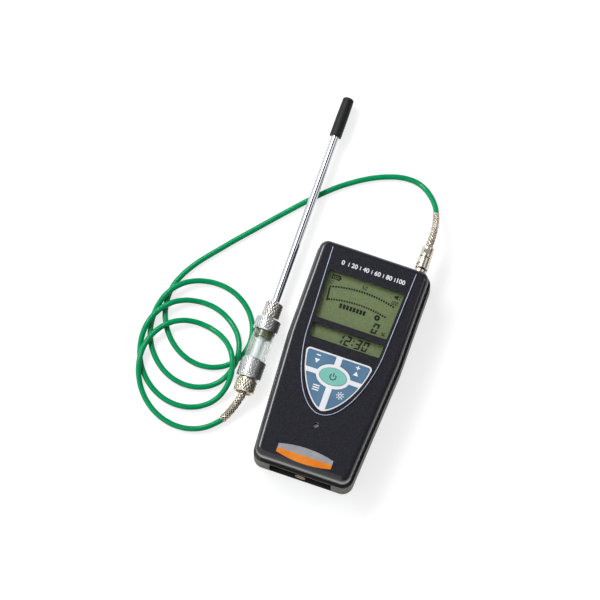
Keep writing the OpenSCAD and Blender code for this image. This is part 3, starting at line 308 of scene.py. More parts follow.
# A darker copy of the brass for the cover's screw: painted shade, as the screw sits in shade in its recess
BRASS_PAINTED_SHADE = metal("brass_painted_shade", rgb(92, 72, 34), rgb(126, 100, 52), (0.26, 0.4), relief_mm=0.004)
CONTACT = metal("contact", rgb(196, 164, 92), rgb(220, 190, 118), (0.16, 0.26), relief_mm=0.004)
NICKEL = metal("nickel", rgb(212, 203, 188), rgb(232, 225, 212), (0.2, 0.3), stretch=SHORT_STREAKS)
WARM_NICKEL = metal("warm_nickel", rgb(232, 220, 198), rgb(246, 238, 222), (0.18, 0.28))
CHROME = metal("chrome", rgb(222, 223, 226), rgb(238, 239, 241), (0.07, 0.13),
               stretch=SHORT_STREAKS, relief_mm=0.0006)
BRAID = metal("braid_wire", rgb(214, 204, 186), rgb(240, 232, 218), (0.34, 0.46))
# Dark core under the braid: painted shade seen in the gaps between its wires
BRAID_SHADE_CORE = rubber("braid_shade_core", rgb(40, 33, 25), rgb(58, 49, 38))
CLEAR_SHEET = clear("clear_window", rgb(240, 244, 242), 0.12)
CLEAR_BARREL = clear("clear_barrel", rgb(240, 246, 242), 0.7)

NODE_MATERIALS = {
    "front_case": FRONT, "rear_case": REAR, "case_gasket": BLACK_RUBBER, "case_screws": STEEL,
    "display_window": CLEAR_SHEET, "lcd_main": DISPLAY, "lcd_small": DISPLAY, "lcd_frame": WHITE,
    "main_board": BOARD, "key_mat": GREY_RUBBER, "key_plate": WHITE, "key_upper_left": BLUE,
    "key_upper_right": BLUE, "key_lower_left": BLUE, "key_lower_right": BLUE, "key_power": MINT,
    "sounder": SILVER, "label_upper": LABEL_GREY, "label_lower": LABEL_ORANGE, "battery_tray": BLACK,
    "battery_cells": CELL, "battery_contacts": CONTACT, "battery_cover": BLACK, "cover_contacts": CONTACT,
    "cover_screw": BRASS_PAINTED_SHADE, "cover_insert": BRASS, "pump_base": PUMP, "pump_motor": STEEL,
    "pump_crank": STEEL, "pump_diaphragm": BLACK_RUBBER, "pump_head": PUMP, "sensor_block": ALUMINIUM,
    "sensor_cell": ALUMINIUM, "inner_tubes": TUBING, "exhaust_fitting": NICKEL, "inlet_socket": NICKEL,
    "socket_seal": BLACK_RUBBER, "coupling_collar": NICKEL, "coupling_plug": NICKEL,
    "hose_guard_meter": BRAID, "hose_run": HOSE, "hose_loops": HOSE, "hose_guard_probe": BRAID,
    "hose_nut": WARM_NICKEL, "filter_rear_cap": CHROME, "filter_barrel": CLEAR_BARREL,
    "filter_tube": WHITE, "filter_felt": FELT, "filter_seal": OLIVE_RUBBER, "filter_front_cap": CHROME,
    "tube_nut": WARM_NICKEL, "probe_tube": TUBE_CHROME, "probe_tip": BLACK_RUBBER,
}


def dress_nodes():
    for name, material in NODE_MATERIALS.items():
        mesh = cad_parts[name].data
        mesh.materials.clear()
        mesh.materials.append(material)


# Pieces

def add_piece(name, points_mm, faces, material, body):
    """A mesh in the row frame, from points in millimetres, that rides on a body."""
    mesh = bpy.data.meshes.new(name)
    mesh.from_pydata([Vector(p) * MM for p in points_mm], [], faces)
    mesh.materials.append(material)
    piece = bpy.data.objects.new(name, mesh)
    show(piece)
    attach(piece, body)
    return piece


def smooth(piece, sharp_degrees):
    piece.data.shade_smooth()
    piece.data.set_sharp_from_angle(angle=math.radians(sharp_degrees))


# Hose: the same route as the solids

GUARD_METER = [(32, 103.6, 19.7), (32, 109.4, 19.7), (31.8, 113.6, 19.2), (31.3, 118.6, 17.8),
               (30.6, 122.6, 16.3), (29.7, 126.6, 14.6), (28.4, 130.6, 12.6)]
RUN = [(26.8, 134.6, 10.6), (23.6, 139.6, 8), (19, 144.6, 5.6), (13.6, 148.6, 3.6), (7.4, 151.2, 2.3),
       (1, 151.8, 2), (-6, 151, 2), (-14, 148.6, 2), (-22, 145.2, 2), (-30, 140.8, 2), (-38, 135.4, 2),
       (-46, 129.2, 2), (-54, 121.8, 2), (-62, 113.6, 2), (-70, 104.8, 2), (-78, 95.8, 2), (-86, 86.6, 2),
       (-94, 77.4, 2), (-102.2, 68, 2), (-109.6, 59, 2), (-116, 51.3, 2), (-122.1, 43.4, 2)]
GUARD_PROBE = [(-64.9, -56, 3.7), (-62.8, -51.4, 5), (-61, -46.8, 6.8), (-59.6, -42.4, 8.4), (-59, -39.7, 9),
               (-59, -33.9, 9)]
# The loops: angles in degrees around the coil, and the place of its middle, which drifts with each turn
LOOP_START = 150
LOOP_END = 1404
LOOP_FIRST = 180
TURNS_TO_MIDDLE = 1.5
LOOP_STEPS = 84
LOOP_R = 34.5
LOOP_OVAL = 1.2
LOOP_LIFT = 4.8
LOOP_MID = Vector((-105.9, -13.5))
LOOP_DRIFT = Vector((-2.6, -16.2))
LOOP_BEND = Vector((2.3, 0.6))
LOOP_SWAY = Vector((0.6, 0))
# Each hump: where it begins, is full, begins to fall and ends, in degrees, and its layers
LOOP_HUMPS = [(450, 500, 506, 540, 1), (674, 712, 730, 780, 1), (811, 854, 878, 918, 1),
              (1040, 1097, 1103, 1162, 2), (1162, 1208, 1263, 1305, 1), (1350, 1404, 1500, 1560, 0.2)]


def ease(share):
    held = min(max(share, 0), 1)
    return held * held * (3 - 2 * held)


def hump(angle, begin, full, fall, end, layers):
    return layers * ease((angle - begin) / (full - begin)) * (1 - ease((angle - fall) / (end - fall)))


def loop_point(angle):
    """A point of the coil, lifted where it crosses the turns below."""
    turns = (angle - LOOP_FIRST) / 360 - TURNS_TO_MIDDLE
    centre = LOOP_MID + LOOP_DRIFT * turns + LOOP_BEND * turns ** 2 + LOOP_SWAY * turns ** 3
    turn = math.radians(angle)
    radius = LOOP_R - LOOP_OVAL * math.sin(2 * turn)
    rise = LOOP_LIFT * max(hump(angle, *h) for h in LOOP_HUMPS)
    return Vector((centre.x + radius * math.cos(turn), centre.y + radius * math.sin(turn), HOSE_D / 2 + rise))


def loop_way(angle):
    return (loop_point(angle + 1) - loop_point(angle - 1)).normalized()


def loop_route():
    step = (LOOP_END - LOOP_START) / LOOP_STEPS
    lead_in = loop_point(LOOP_START) - loop_way(LOOP_START) * HOSE_D
    lead_out = loop_point(LOOP_END) + loop_way(LOOP_END) * HOSE_D
    return [lead_in] + [loop_point(LOOP_START + i * step) for i in range(LOOP_STEPS + 1)] + [lead_out]


LOOPS = loop_route()
HOSE_ROUTE = [Vector(p) for p in GUARD_METER + RUN] + LOOPS + [Vector(p) for p in GUARD_PROBE]


def make_hose():
    """The hose as one smooth curve from the coupling's plug to the filter's cap."""
    data = bpy.data.curves.new("hose", "CURVE")
    data.dimensions = "3D"
    data.bevel_depth = HOSE_D / 2 * MM
    data.bevel_resolution = 5
    data.resolution_u = 8
    data.materials.append(HOSE)
    spline = data.splines.new("BEZIER")
    spline.bezier_points.add(len(HOSE_ROUTE) - 1)
    for knot, place in zip(spline.bezier_points, HOSE_ROUTE):
        knot.co = place * MM
        knot.handle_left_type = "AUTO"
        knot.handle_right_type = "AUTO"
    hose = bpy.data.objects.new("hose", data)
    show(hose)
    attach(hose, "meter")
    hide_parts("hose_run", "hose_loops")
    return hose


# Braided guards: wires wound both ways over a dark core, which paints the shade in the gaps between the wires

# In millimetres, but the step between wires side by side is in degrees
BRAID_CARRIERS = 6
BRAID_WIRE_R = 0.17
BRAID_WIRE_SIDES = 6
BRAID_WIRE_STEP = 7.2
BRAID_PITCH = 12.0
BRAID_WEAVE = 0.16
BRAID_STEP = 0.3
METER_WIRES = 3
PROBE_WIRES = 2
CORE_SIDES = 24
CORE_GAP = 0.42
HOSE_PLAY = 0.06


def along(points, step):
    """Points at even steps on a smooth line through the given points."""
    fine = []
    last = len(points) - 1
    for i in range(last):
        a, b, c, d = (points[min(max(i + k, 0), last)] for k in (-1, 0, 1, 2))
        count = max(2, round((c - b).length / step))
        for k in range(count):
            t = k / count
            fine.append(0.5 * (2 * b + (c - a) * t + (2 * a - 5 * b + 4 * c - d) * t ** 2
                               + (3 * b - a - 3 * c + d) * t ** 3))
    return fine + [points[last]]


def frames(points):
    """Each point of a line with two ways across the line that do not twist."""
    across = Vector((0, 0, 1))
    made = []
    for i in range(len(points)):
        way = (points[min(i + 1, len(points) - 1)] - points[max(i - 1, 0)]).normalized()
        side = way.cross(across).normalized()
        across = side.cross(way).normalized()
        made.append((points[i], side, across))
    return made


def tube_mesh(line, radii, sides, points, faces):
    """Adds a closed tube along a line of points, with a radius for each, to the lists."""
    first = len(points)
    rings = frames(line)
    for (place, side, up), radius in zip(rings, radii):
        for k in range(sides):
            turn = 2 * math.pi * k / sides
            points.append(place + (side * math.cos(turn) + up * math.sin(turn)) * radius)
    for i in range(len(rings) - 1):
        for k in range(sides):
            a = first + i * sides + k
            b = first + i * sides + (k + 1) % sides
            faces.append((a, b, b + sides, a + sides))
    end = first + (len(rings) - 1) * sides
    faces.append(tuple(reversed(range(first, first + sides))))
    faces.append(tuple(range(end, end + sides)))


def wire_line(rings, radii, start_turn, hand, phase):
    """One wire of the braid, going over and under those of the other hand."""
    line = []
    for i, (place, side, up) in enumerate(rings):
        turn = start_turn + hand * 2 * math.pi * i * BRAID_STEP / BRAID_PITCH
        weave = BRAID_WEAVE * math.sin(BRAID_CARRIERS * (turn - start_turn) + phase)
        radius = radii[i] - BRAID_WIRE_R - BRAID_WEAVE + hand * weave
        line.append(place + (side * math.cos(turn) + up * math.sin(turn)) * radius)
    return line


def braid_wires(rings, radii, wires, points, faces):
    """Adds the wires of both hands to the lists, in bundles side by side."""
    for hand in (-1, 1):
        for carrier in range(BRAID_CARRIERS):
            for wire in range(wires):
                offset = math.radians(BRAID_WIRE_STEP) * (wire - (wires - 1) / 2)
                start_turn = 2 * math.pi * carrier / BRAID_CARRIERS + offset
                line = wire_line(rings, radii, start_turn, hand, math.pi * carrier)
                tube_mesh(line, [BRAID_WIRE_R] * len(line), BRAID_WIRE_SIDES, points, faces)


def make_braid(name, route, end_r, wires, node):
    """A braid along a route, from the full radius at its start to another at its end."""
    rings = frames(along([Vector(p) for p in route], BRAID_STEP))
    last = len(rings) - 1
    radii = [GUARD_R + (end_r - GUARD_R) * i / last for i in range(last + 1)]
    # The core is a dark tube under the wires, for the painted shade in the braid's gaps
    core = [max(r - CORE_GAP, HOSE_D / 2 + HOSE_PLAY) for r in radii]
    points, faces = [], []
    tube_mesh([ring[0] for ring in rings], core, CORE_SIDES, points, faces)
    core_faces = len(faces)
    braid_wires(rings, radii, wires, points, faces)
    piece = add_piece(name, points, faces, BRAID, "meter")
    piece.data.materials.append(BRAID_SHADE_CORE)
    for face in piece.data.polygons[:core_faces]:
        face.material_index = 1
    smooth(piece, sharp_degrees=50)
    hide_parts(node)
    return piece


def make_cord():
    hose = make_hose()
    probe_route = [LOOPS[-1]] + GUARD_PROBE
    guards = [make_braid("guard_meter", GUARD_METER, GUARD_TIP_R, METER_WIRES, "hose_guard_meter"),
              make_braid("guard_probe", probe_route, GUARD_R, PROBE_WIRES, "hose_guard_probe")]


# Knurled pieces of the probe

# Length of a step along a knurl, and the points around for each groove
KNURL_STEP = 0.16
KNURL_AROUND = 14
# A diamond knurl: grooves around, their lead and depth, the share of the pitch that is groove,
# and the share of the depth that gets the dark groove metal, partly grime and partly painted shade
Knurl = namedtuple("Knurl", "count lead depth groove dirt")
CAP_KNURL = Knurl(count=24, lead=2.8, depth=0.26, groove=0.4, dirt=0.3)
HOSE_NUT_KNURL = Knurl(count=19, lead=3.8, depth=0.36, groove=0.42, dirt=0.4)
TUBE_NUT_KNURL = Knurl(count=16, lead=3.8, depth=0.36, groove=0.42, dirt=0.4)
CHAMFER = 0.8
TUBE_BORE_R = 2.95
SPIGOT_R = 4.4
SPIGOT_BORE_R = 4.45
BARREL_BORE_R = 7.75
CAP_R = 9.0
HOSE_NUT_R = 7.4
TUBE_NUT_R = 6.4


def saw(value):
    """From 0 at whole numbers to 1 half way between them."""
    return 1 - abs(2 * (value % 1) - 1)


def knurl_height(turn, y, knurl):
    """Height of a diamond knurl, from 0 in its grooves to 1 on its flat tops."""
    around = knurl.count * turn / (2 * math.pi)
    onward = y / knurl.lead
    return min(1, min(saw(around + onward), saw(around - onward)) / knurl.groove)


def knurled_profile(outline, low, high):
    """The outline with close steps between the two ends of the knurl."""
    made = []
    for i, (radius, y) in enumerate(outline):
        made.append((radius, y))
        if y == low and outline[(i + 1) % len(outline)][1] == high:
            steps = round((high - low) / KNURL_STEP)
            made += [(radius, low + (high - low) * k / steps) for k in range(1, steps)]
    return made


def add_groove_dirt_and_shade(piece, knurl, low, high, top):
    """Gives the deep parts of a piece's grooves the dark groove metal: partly grime, partly painted shade in
    the grooves.
    """
    piece.data.materials.append(GROOVE)
    for face in piece.data.polygons:
        x, y, z = face.center / MM
        turn = math.atan2(z - PROBE_Z, x - PROBE_X)
        reach = math.hypot(x - PROBE_X, z - PROBE_Z)
        if low < y < high and reach > top - 2 * knurl.depth and knurl_height(turn, y, knurl) < knurl.dirt:
            face.material_index = 1


def turned_faces(rows, around):
    """Faces of a closed ring of rows, each with as many points around."""
    made = []
    for i in range(rows):
        this = i * around
        following = (i + 1) % rows * around
        for k in range(around):
            n = (k + 1) % around
            made.append((this + k, this + n, following + n, following + k))
    return made


def make_knurled(name, outline, ends, knurl, material, body):
    """A turned piece around the probe's axis with a diamond knurl between two places."""
    low, high = ends
    profile = knurled_profile(outline, low, high)
    top = max(radius for radius, y in profile)
    around = knurl.count * KNURL_AROUND
    points = []
    for radius, y in profile:
        cut = knurl.depth if radius == top and low < y < high else 0
        for k in range(around):
            turn = 2 * math.pi * k / around
            r = radius - cut * (1 - knurl_height(turn, y, knurl))
            points.append((PROBE_X + r * math.cos(turn), y, PROBE_Z + r * math.sin(turn)))
    piece = add_piece(name, points, turned_faces(len(profile), around), material, body)
    add_groove_dirt_and_shade(piece, knurl, low, high, top)
    smooth(piece, sharp_degrees=24)
    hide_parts(name.replace("_knurled", ""))


def rim(low, high, radius):
    """Outer side of a ring with chamfered ends, and the two places between which it is knurled."""
    ends = (low + CHAMFER, high - CHAMFER)
    return [(radius - CHAMFER, low), (radius, ends[0]), (radius, ends[1]), (radius - CHAMFER, high)], ends


def make_hose_nut():
    low = -37.8
    high = -27.6
    floor = -34.4
    bore = 3.3
    recess = -35.8
    recess_r = 5.6
    side, ends = rim(low, high, HOSE_NUT_R)
    outline = [(bore, recess), (recess_r, recess), (recess_r, low)] + side
    outline += [(SPIGOT_BORE_R, high), (SPIGOT_BORE_R, floor), (bore, floor)]
    make_knurled("hose_nut_knurled", outline, ends, HOSE_NUT_KNURL, WARM_NICKEL, "hose_nut")


def make_rear_cap():
    low = -27.2
    high = -12.7
    floor = -20.7
    spigot = -33.9
    passage = 1.2
    side, ends = rim(low, high, CAP_R)
    outline = [(passage, spigot), (SPIGOT_R, spigot), (SPIGOT_R, low)] + side
    outline += [(BARREL_BORE_R, high), (BARREL_BORE_R, floor), (passage, floor)]
    make_knurled("filter_rear_cap_knurled", outline, ends, CAP_KNURL, CHROME, "meter")


def make_front_cap():
    low = 9.3
    high = 19.1
    floor = 17.3
    spigot = 25.8
    side, ends = rim(low, high, CAP_R)
    outline = [(BARREL_BORE_R, low)] + side + [(SPIGOT_R, high), (SPIGOT_R, spigot), (TUBE_BORE_R, spigot)]
    outline += [(TUBE_BORE_R, floor), (BARREL_BORE_R, floor)]
    make_knurled("filter_front_cap_knurled", outline, ends, CAP_KNURL, CHROME, "probe_front")


def make_tube_nut():
    low = 19.5
    high = 31.7
    floor = 26.1
    bore = 3.0
    side, ends = rim(low, high, TUBE_NUT_R)
    outline = [(SPIGOT_BORE_R, low)] + side + [(bore, high), (bore, floor), (SPIGOT_BORE_R, floor)]
    make_knurled("tube_nut_knurled", outline, ends, TUBE_NUT_KNURL, SILVER, "tube_nut")


def make_probe():
    make_hose_nut()
    make_rear_cap()
    make_front_cap()
    make_tube_nut()


# Flat marks: thin plates that lie on a face

MARK_THICKNESS = 0.05
DISC_SIDES = 20


def plate(outlines, place, thickness):
    """Points and faces of thin plates, from outlines around a place that run counter-clockwise."""
    points, faces = [], []
    left, low, z = place
    for outline in outlines:
        first = len(points)
        count = len(outline)
        points += [(left + x, low + y, z) for x, y in outline]
        points += [(left + x, low + y, z + thickness) for x, y in outline]
        faces.append(tuple(first + k for k in reversed(range(count))))
        faces.append(tuple(first + count + k for k in range(count)))
        for k in range(count):
            n = (k + 1) % count
            faces.append((first + k, first + n, first + count + n, first + count + k))
    return points, faces


def add_marks(name, outlines, place, material, body):
    points, faces = plate(outlines, place, MARK_THICKNESS)
    add_piece(name, points, faces, material, body)


def bar(x0, x1, y0, y1):
    return [(x0, y0), (x1, y0), (x1, y1), (x0, y1)]


def on_circle(x, y, r, turn):
    return (x + r * math.cos(turn), y + r * math.sin(turn))


def disc(x, y, r):
    return [on_circle(x, y, r, 2 * math.pi * k / DISC_SIDES) for k in range(DISC_SIDES)]


def ring_parts(x, y, r, width, start=0, end=360, parts=16):
    """A ring, or a part of one, as short quads."""
    made = []
    for k in range(parts):
        a = math.radians(start + (end - start) * k / parts)
        b = math.radians(start + (end - start) * (k + 1) / parts)
        made.append([on_circle(x, y, r, a), on_circle(x, y, r + width, a),
                     on_circle(x, y, r + width, b), on_circle(x, y, r, b)])
    return made


# Numbers of the displays: seven bars each

DIGIT_BARS = {
    "0": "abcdef", "1": "bc", "2": "abged", "3": "abgcd", "4": "fgbc", "5": "afgcd", "6": "afgedc",
    "7": "abc", "8": "abcdefg", "9": "abfgcd",
}
# Sizes as shares of a number's height
DIGIT_SLANT = 0.16
DIGIT_WIDTH = 0.53
DIGIT_STROKE = 0.155
DIGIT_GAP = 0.006
DIGIT_PITCH = 0.73


def half_turned(shape, width, height):
    """The shape, turned half a turn about the middle of its number."""
    return [(width - x, height - y) for x, y in shape]


def mirrored(shape, width):
    """The shape, mirrored from left to right, still running the same way round."""
    return [(width - x, y) for x, y in reversed(shape)]


def digit_shapes(height):
    """The seven bars of an upright number, from the top one clockwise, the middle one last."""
    w = DIGIT_WIDTH * height
    t = DIGIT_STROKE * height
    g = DIGIT_GAP * height
    m = height / 2
    upper = [(0, m + g), (t / 2, m + g + t / 2), (t, m + g + t / 2), (t, height - g - t), (0, height - g)]
    top = [(g + t, height - t), (w - g - t, height - t), (w - g, height), (g, height)]
    middle = [(g, m), (g + t / 2, m - t / 2), (w - g - t / 2, m - t / 2), (w - g, m),
              (w - g - t / 2, m + t / 2), (g + t / 2, m + t / 2)]
    return {"a": top, "b": mirrored(upper, w), "c": half_turned(upper, w, height),
            "d": half_turned(top, w, height), "e": half_turned(mirrored(upper, w), w, height),
            "f": upper, "g": middle}


def digit(sign, x, y, height):
    """Bars of one number, leaning to the right, with its lower left corner at x, y."""
    shapes = digit_shapes(height)
    return [[(x + px + DIGIT_SLANT * py, y + py) for px, py in shapes[key]] for key in DIGIT_BARS[sign]]


def number(text, x, y, height):
    made = []
    for k, sign in enumerate(text):
        made += digit(sign, x + k * DIGIT_PITCH * height, y, height)
    return made


# Displays: places are from the middle of the lower edge of a display's opening

SCALE_R = 86.5
SCALE_HALF = 24.2
SCALE_TOP = 27.8
SCALE_LOW = 18.1
SCALE_DASHES = 26
SCALE_BAR = [(-23.6, 14.7), (-22.4, 14.7), (-23.4, 24.1), (-24.6, 24.1)]
SCALE_NUMBERS = (("0", -25.0, 27.2), ("50", -2.4, 30.6), ("100", 19.8, 26.8))
SCALE_NUMBER_H = 2.8
TOP_DASH_SHARE = 0.7
TOP_DASH_H = 1.4
# The lower arc starts later, runs a little closer and has two dashes fewer
LOW_START = -0.92
LOW_STEP_SHARE = 0.97
LOW_DASH_SHARE = 0.66
LOW_DASH_H = 1.3
LOW_FEWER = 2
GAUGE_BARS = 8
GAUGE_LEFT = -13.2
GAUGE_STEP = 2.5
GAUGE_BAR_W = 1.8
GAUGE_LOW = 12.4
GAUGE_HIGH = 15.8
BATTERY_PLACE = (-25.4, 30.9)
SOUND_PLACE = (23.6, 32.8)
RING_PLACE = (15.0, 14.0)
PERCENT_PLACE = (21.8, 2.6)
READING_PLACE = (13.6, 2.2)
READING_H = 7.8
HOURS_PLACE = (-7.2, 1.9)
MINUTES_PLACE = (6.1, 1.9)
CLOCK_H = 7.5
COLON_PLACES = ((4.6, 4.0), (5.1, 7.1))
COLON_R = 0.65
# The clear sheet: its height over the displays and its thickness
SHEET_GAP = 0.3
SHEET_THICKNESS = 1.1


def scale_point(share, top, lift=0.0):
    """A point of a scale's arc, from -1 at its left end to 1 at its right end."""
    x = SCALE_HALF * share
    turn = math.asin(x / SCALE_R)
    return ((SCALE_R + lift) * math.sin(turn), top - SCALE_R + (SCALE_R + lift) * math.cos(turn))


def dash(share, width, top, height):
    a = share
    b = share + width
    return [scale_point(a, top), scale_point(b, top),
            scale_point(b, top, height), scale_point(a, top, height)]


def scale_marks():
    """Two arcs of dashes with a bar at their left end, and the numbers of the scale."""
    made = []
    step = 2 / SCALE_DASHES
    for k in range(SCALE_DASHES):
        made.append(dash(-1 + k * step, TOP_DASH_SHARE * step, SCALE_TOP, TOP_DASH_H))
        if k < SCALE_DASHES - LOW_FEWER:
            start = LOW_START + k * step * LOW_STEP_SHARE
            made.append(dash(start, LOW_DASH_SHARE * step, SCALE_LOW, LOW_DASH_H))
    made.append(SCALE_BAR)
    for text, x, y in SCALE_NUMBERS:
        made += number(text, x, y, SCALE_NUMBER_H)
    return made


def battery_mark(x, y):
    """A lying battery: its frame and nose, and three bars of charge."""
    w = 6.4
    h = 3.6
    line = 0.9
    nose = 0.8
    nose_inset = 1.0
    charge_w = 1.0
    charge_step = 1.4
    charge_inset = 1.2
    made = [bar(x, x + w, y, y + line), bar(x, x + w, y + h - line, y + h),
            bar(x, x + line, y + line, y + h - line), bar(x + w - line, x + w, y + line, y + h - line),
            bar(x + w, x + w + nose, y + nose_inset, y + h - nose_inset)]
    for k in range(3):
        left = x + charge_step * (k + 1)
        made.append(bar(left, left + charge_w, y + charge_inset, y + h - charge_inset))
    return made


def sound_mark(x, y):
    """A small horn with two dots."""
    horn = [(x - 0.7, y - 0.8), (x + 0.9, y - 1.9), (x + 0.9, y + 1.9), (x - 0.7, y + 0.8)]
    dots = [disc(x + 2, y + side * 0.9, 0.5) for side in (-1, 1)]
    return [bar(x - 1.9, x - 0.7, y - 0.8, y + 0.8), horn] + dots


def percent_mark(x, y):
    slash = [(x, y), (x + 0.7, y), (x + 2.3, y + 2.6), (x + 1.6, y + 2.6)]
    return [slash, disc(x + 0.3, y + 2, 0.55), disc(x + 2, y + 0.6, 0.55)]


def gauge_bars():
    made = []
    for k in range(GAUGE_BARS):
        left = GAUGE_LEFT + k * GAUGE_STEP
        made.append(bar(left, left + GAUGE_BAR_W, GAUGE_LOW, GAUGE_HIGH))
    return made


def make_displays():
    main = scale_marks()
    main += battery_mark(*BATTERY_PLACE)
    main += sound_mark(*SOUND_PLACE)
    main += gauge_bars()
    main += ring_parts(*RING_PLACE, r=0.6, width=1.5)
    main += number("0", *READING_PLACE, READING_H)
    main += percent_mark(*PERCENT_PLACE)
    add_marks("display_marks_main", main, (0, MAIN_LOW_Y, LCD_Z), INK, "meter")
    small = number("12", *HOURS_PLACE, CLOCK_H)
    small += [disc(x, y, COLON_R) for x, y in COLON_PLACES]
    small += number("30", *MINUTES_PLACE, CLOCK_H)
    add_marks("display_marks_small", small, (0, SMALL_LOW_Y, LCD_Z), INK, "meter")


def make_window():
    """The clear sheet, a little off the displays, in place of its solid."""
    low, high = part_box("display_window")
    outline = bar(low.x / MM, high.x / MM, low.y / MM, high.y / MM)
    points, faces = plate([outline], (0, 0, LCD_Z + SHEET_GAP), SHEET_THICKNESS)
    sheet = add_piece("window_sheet", points, faces, CLEAR_SHEET, "meter")
    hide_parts("display_window")


# Signs on the keys: places are from the middle of the power key

UPPER_SIGN_X = 14.7
ARROW_Y = 5.8
ARROW_HALF = 1.9
ARROW_H = 3.2
PLUS_Y = 11.8
PLUS_HALF = 1.5
SIGN_LINE = 0.8
MENU_X = -9.0
MENU_HALF = 2.4
MENU_LINES = (-10.0, -11.7, -13.4)
SUN_PLACE = (9.2, -11.6)
SUN_RAYS = 8
# Half of a ray's width, in degrees around the sun
SUN_RAY_HALF = 9


def minus(x, y):
    return bar(x - PLUS_HALF, x + PLUS_HALF, y - SIGN_LINE / 2, y + SIGN_LINE / 2)


def plus(x, y):
    """Three bars that meet without lying over each other."""
    half = SIGN_LINE / 2
    below = bar(x - half, x + half, y - PLUS_HALF, y - half)
    above = bar(x - half, x + half, y + half, y + PLUS_HALF)
    return [minus(x, y), below, above]


def arrow_up(x, y):
    return [(x - ARROW_HALF, y), (x + ARROW_HALF, y), (x, y + ARROW_H)]


def arrow_down(x, y):
    return [(x - ARROW_HALF, y + ARROW_H), (x, y), (x + ARROW_HALF, y + ARROW_H)]


def sun(x, y):
    """A ring with short rays around it."""
    made = ring_parts(x, y, r=0.8, width=0.6)
    for k in range(SUN_RAYS):
        middle = 360 / SUN_RAYS * k
        made += ring_parts(x, y, r=1.9, width=0.9, start=middle - SUN_RAY_HALF,
                           end=middle + SUN_RAY_HALF, parts=1)
    return made


def power_sign():
    """An open ring with a bar in its gap."""
    return ring_parts(0, -0.2, r=1.8, width=0.75, start=-230, end=50) + [bar(-0.38, 0.38, 0, 2.8)]


def add_key_sign(name, outlines, key, material):
    add_marks(name, outlines, (0, POWER_KEY_Y, KEY_Z), material, key)


def make_key_marks():
    down = [arrow_down(-UPPER_SIGN_X, ARROW_Y), minus(-UPPER_SIGN_X, PLUS_Y)]
    up = [arrow_up(UPPER_SIGN_X, ARROW_Y)] + plus(UPPER_SIGN_X, PLUS_Y)
    menu = [bar(MENU_X - MENU_HALF, MENU_X + MENU_HALF, y, y + SIGN_LINE) for y in MENU_LINES]
    add_key_sign("mark_down", down, "key_upper_left", PRINT)
    add_key_sign("mark_up", up, "key_upper_right", PRINT)
    add_key_sign("mark_menu", menu, "key_lower_left", PRINT)
    add_key_sign("mark_light", sun(*SUN_PLACE), "key_lower_right", PRINT)
    add_key_sign("mark_power", power_sign(), "key_power", DARK_PRINT)


# Marks of the panel

NUMBER_DROP = 9.0
NUMBER_LEFT = -20.6
NUMBER_STEP = 8.6
NUMBER_SIZE = 4.6
NUMBERS = 6
# How much the numbers are thickened sideways, and how far they stand out of the panel
NUMBER_WEIGHT = 0.09
NUMBER_LIFT = 0.02
TICK_LEFT = -16.5
TICK_W = 0.5
TICK_HALF = 1.4
BEAD_R = 0.26
BEAD_SIDES = 8


def text_mesh(name, text, size_mm, place_mm, material):
    """A word of plain numbers as a thin mesh that lies on the panel."""
    data = bpy.data.curves.new(name, "FONT")
    data.body = text
    data.size = size_mm * MM
    data.align_x = "CENTER"
    data.align_y = "CENTER"
    data.offset = NUMBER_WEIGHT * MM
    data.extrude = NUMBER_LIFT * MM
    maker = bpy.data.objects.new(name + "_maker", data)
    show(maker)
    bpy.context.view_layer.update()
    mesh = bpy.data.meshes.new_from_object(maker.evaluated_get(bpy.context.evaluated_depsgraph_get()))
    bpy.data.objects.remove(maker)
    mesh.materials.clear()
    mesh.materials.append(material)
    mesh.transform(Matrix.Translation(Vector(place_mm) * MM))
    piece = bpy.data.objects.new(name, mesh)
    show(piece)
    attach(piece, "meter")


def make_panel_scale():
    """Numbers from 0 to 100 above the main display, with a tick between each two."""
    row_y = PANEL_TOP_Y - NUMBER_DROP
    for k in range(NUMBERS):
        place = (NUMBER_LEFT + NUMBER_STEP * k, row_y, PANEL_Z)
        text_mesh(f"scale_number_{k}", str(20 * k), NUMBER_SIZE, place, PRINT)
    lefts = [TICK_LEFT + NUMBER_STEP * k for k in range(NUMBERS - 1)]
    ticks = [bar(left, left + TICK_W, -TICK_HALF, TICK_HALF) for left in lefts]
    add_marks("scale_ticks", ticks, (0, row_y, PANEL_Z), PRINT, "meter")


def panel_side(sign):
    """Points of one side of the panel, from its upper corner to its tip."""
    made = [Vector((sign * PANEL_TOP_HALF, PANEL_TOP_Y, PANEL_Z))]
    for degrees in range(0, 91, 3):
        turn = math.radians(degrees)
        x = PANEL_SIDE_HALF * math.cos(turn)
        y = PANEL_SIDE_Y + (PANEL_TIP_Y - PANEL_SIDE_Y) * math.sin(turn) ** SHIELD_DROP
        made.append(Vector((sign * x, y, PANEL_Z)))
    return made


def make_panel_highlight_bead():
    """A fine pale bead along the panel's edge, whose pale colour is a painted highlight on that edge."""
    points, faces = [], []
    line = panel_side(-1) + list(reversed(panel_side(1)))[1:]
    tube_mesh(line, [BEAD_R] * len(line), BEAD_SIDES, points, faces)
    bead = add_piece("panel_highlight_bead", points, faces, PANEL_EDGE_PAINTED_HIGHLIGHT, "meter")
    smooth(bead, sharp_degrees=40)


# Floor, light and background

FLOOR_HALF_M = 3.0
FLOOR_GREY = (0.36, 0.36, 0.36, 1)
FLOOR_GLOW = 0.74
# The floor is a little under the object, so that their faces do not flicker
FLOOR_DROP = 0.3
FULL_WHITE = (1, 1, 1, 1)
ROOM_DARK = (0.15, 0.15, 0.16, 1)
# Where the bright wall begins and is full, as cosines of the angle from the picture's left
WALL_BEGIN = 0.02
WALL_FULL = 0.24


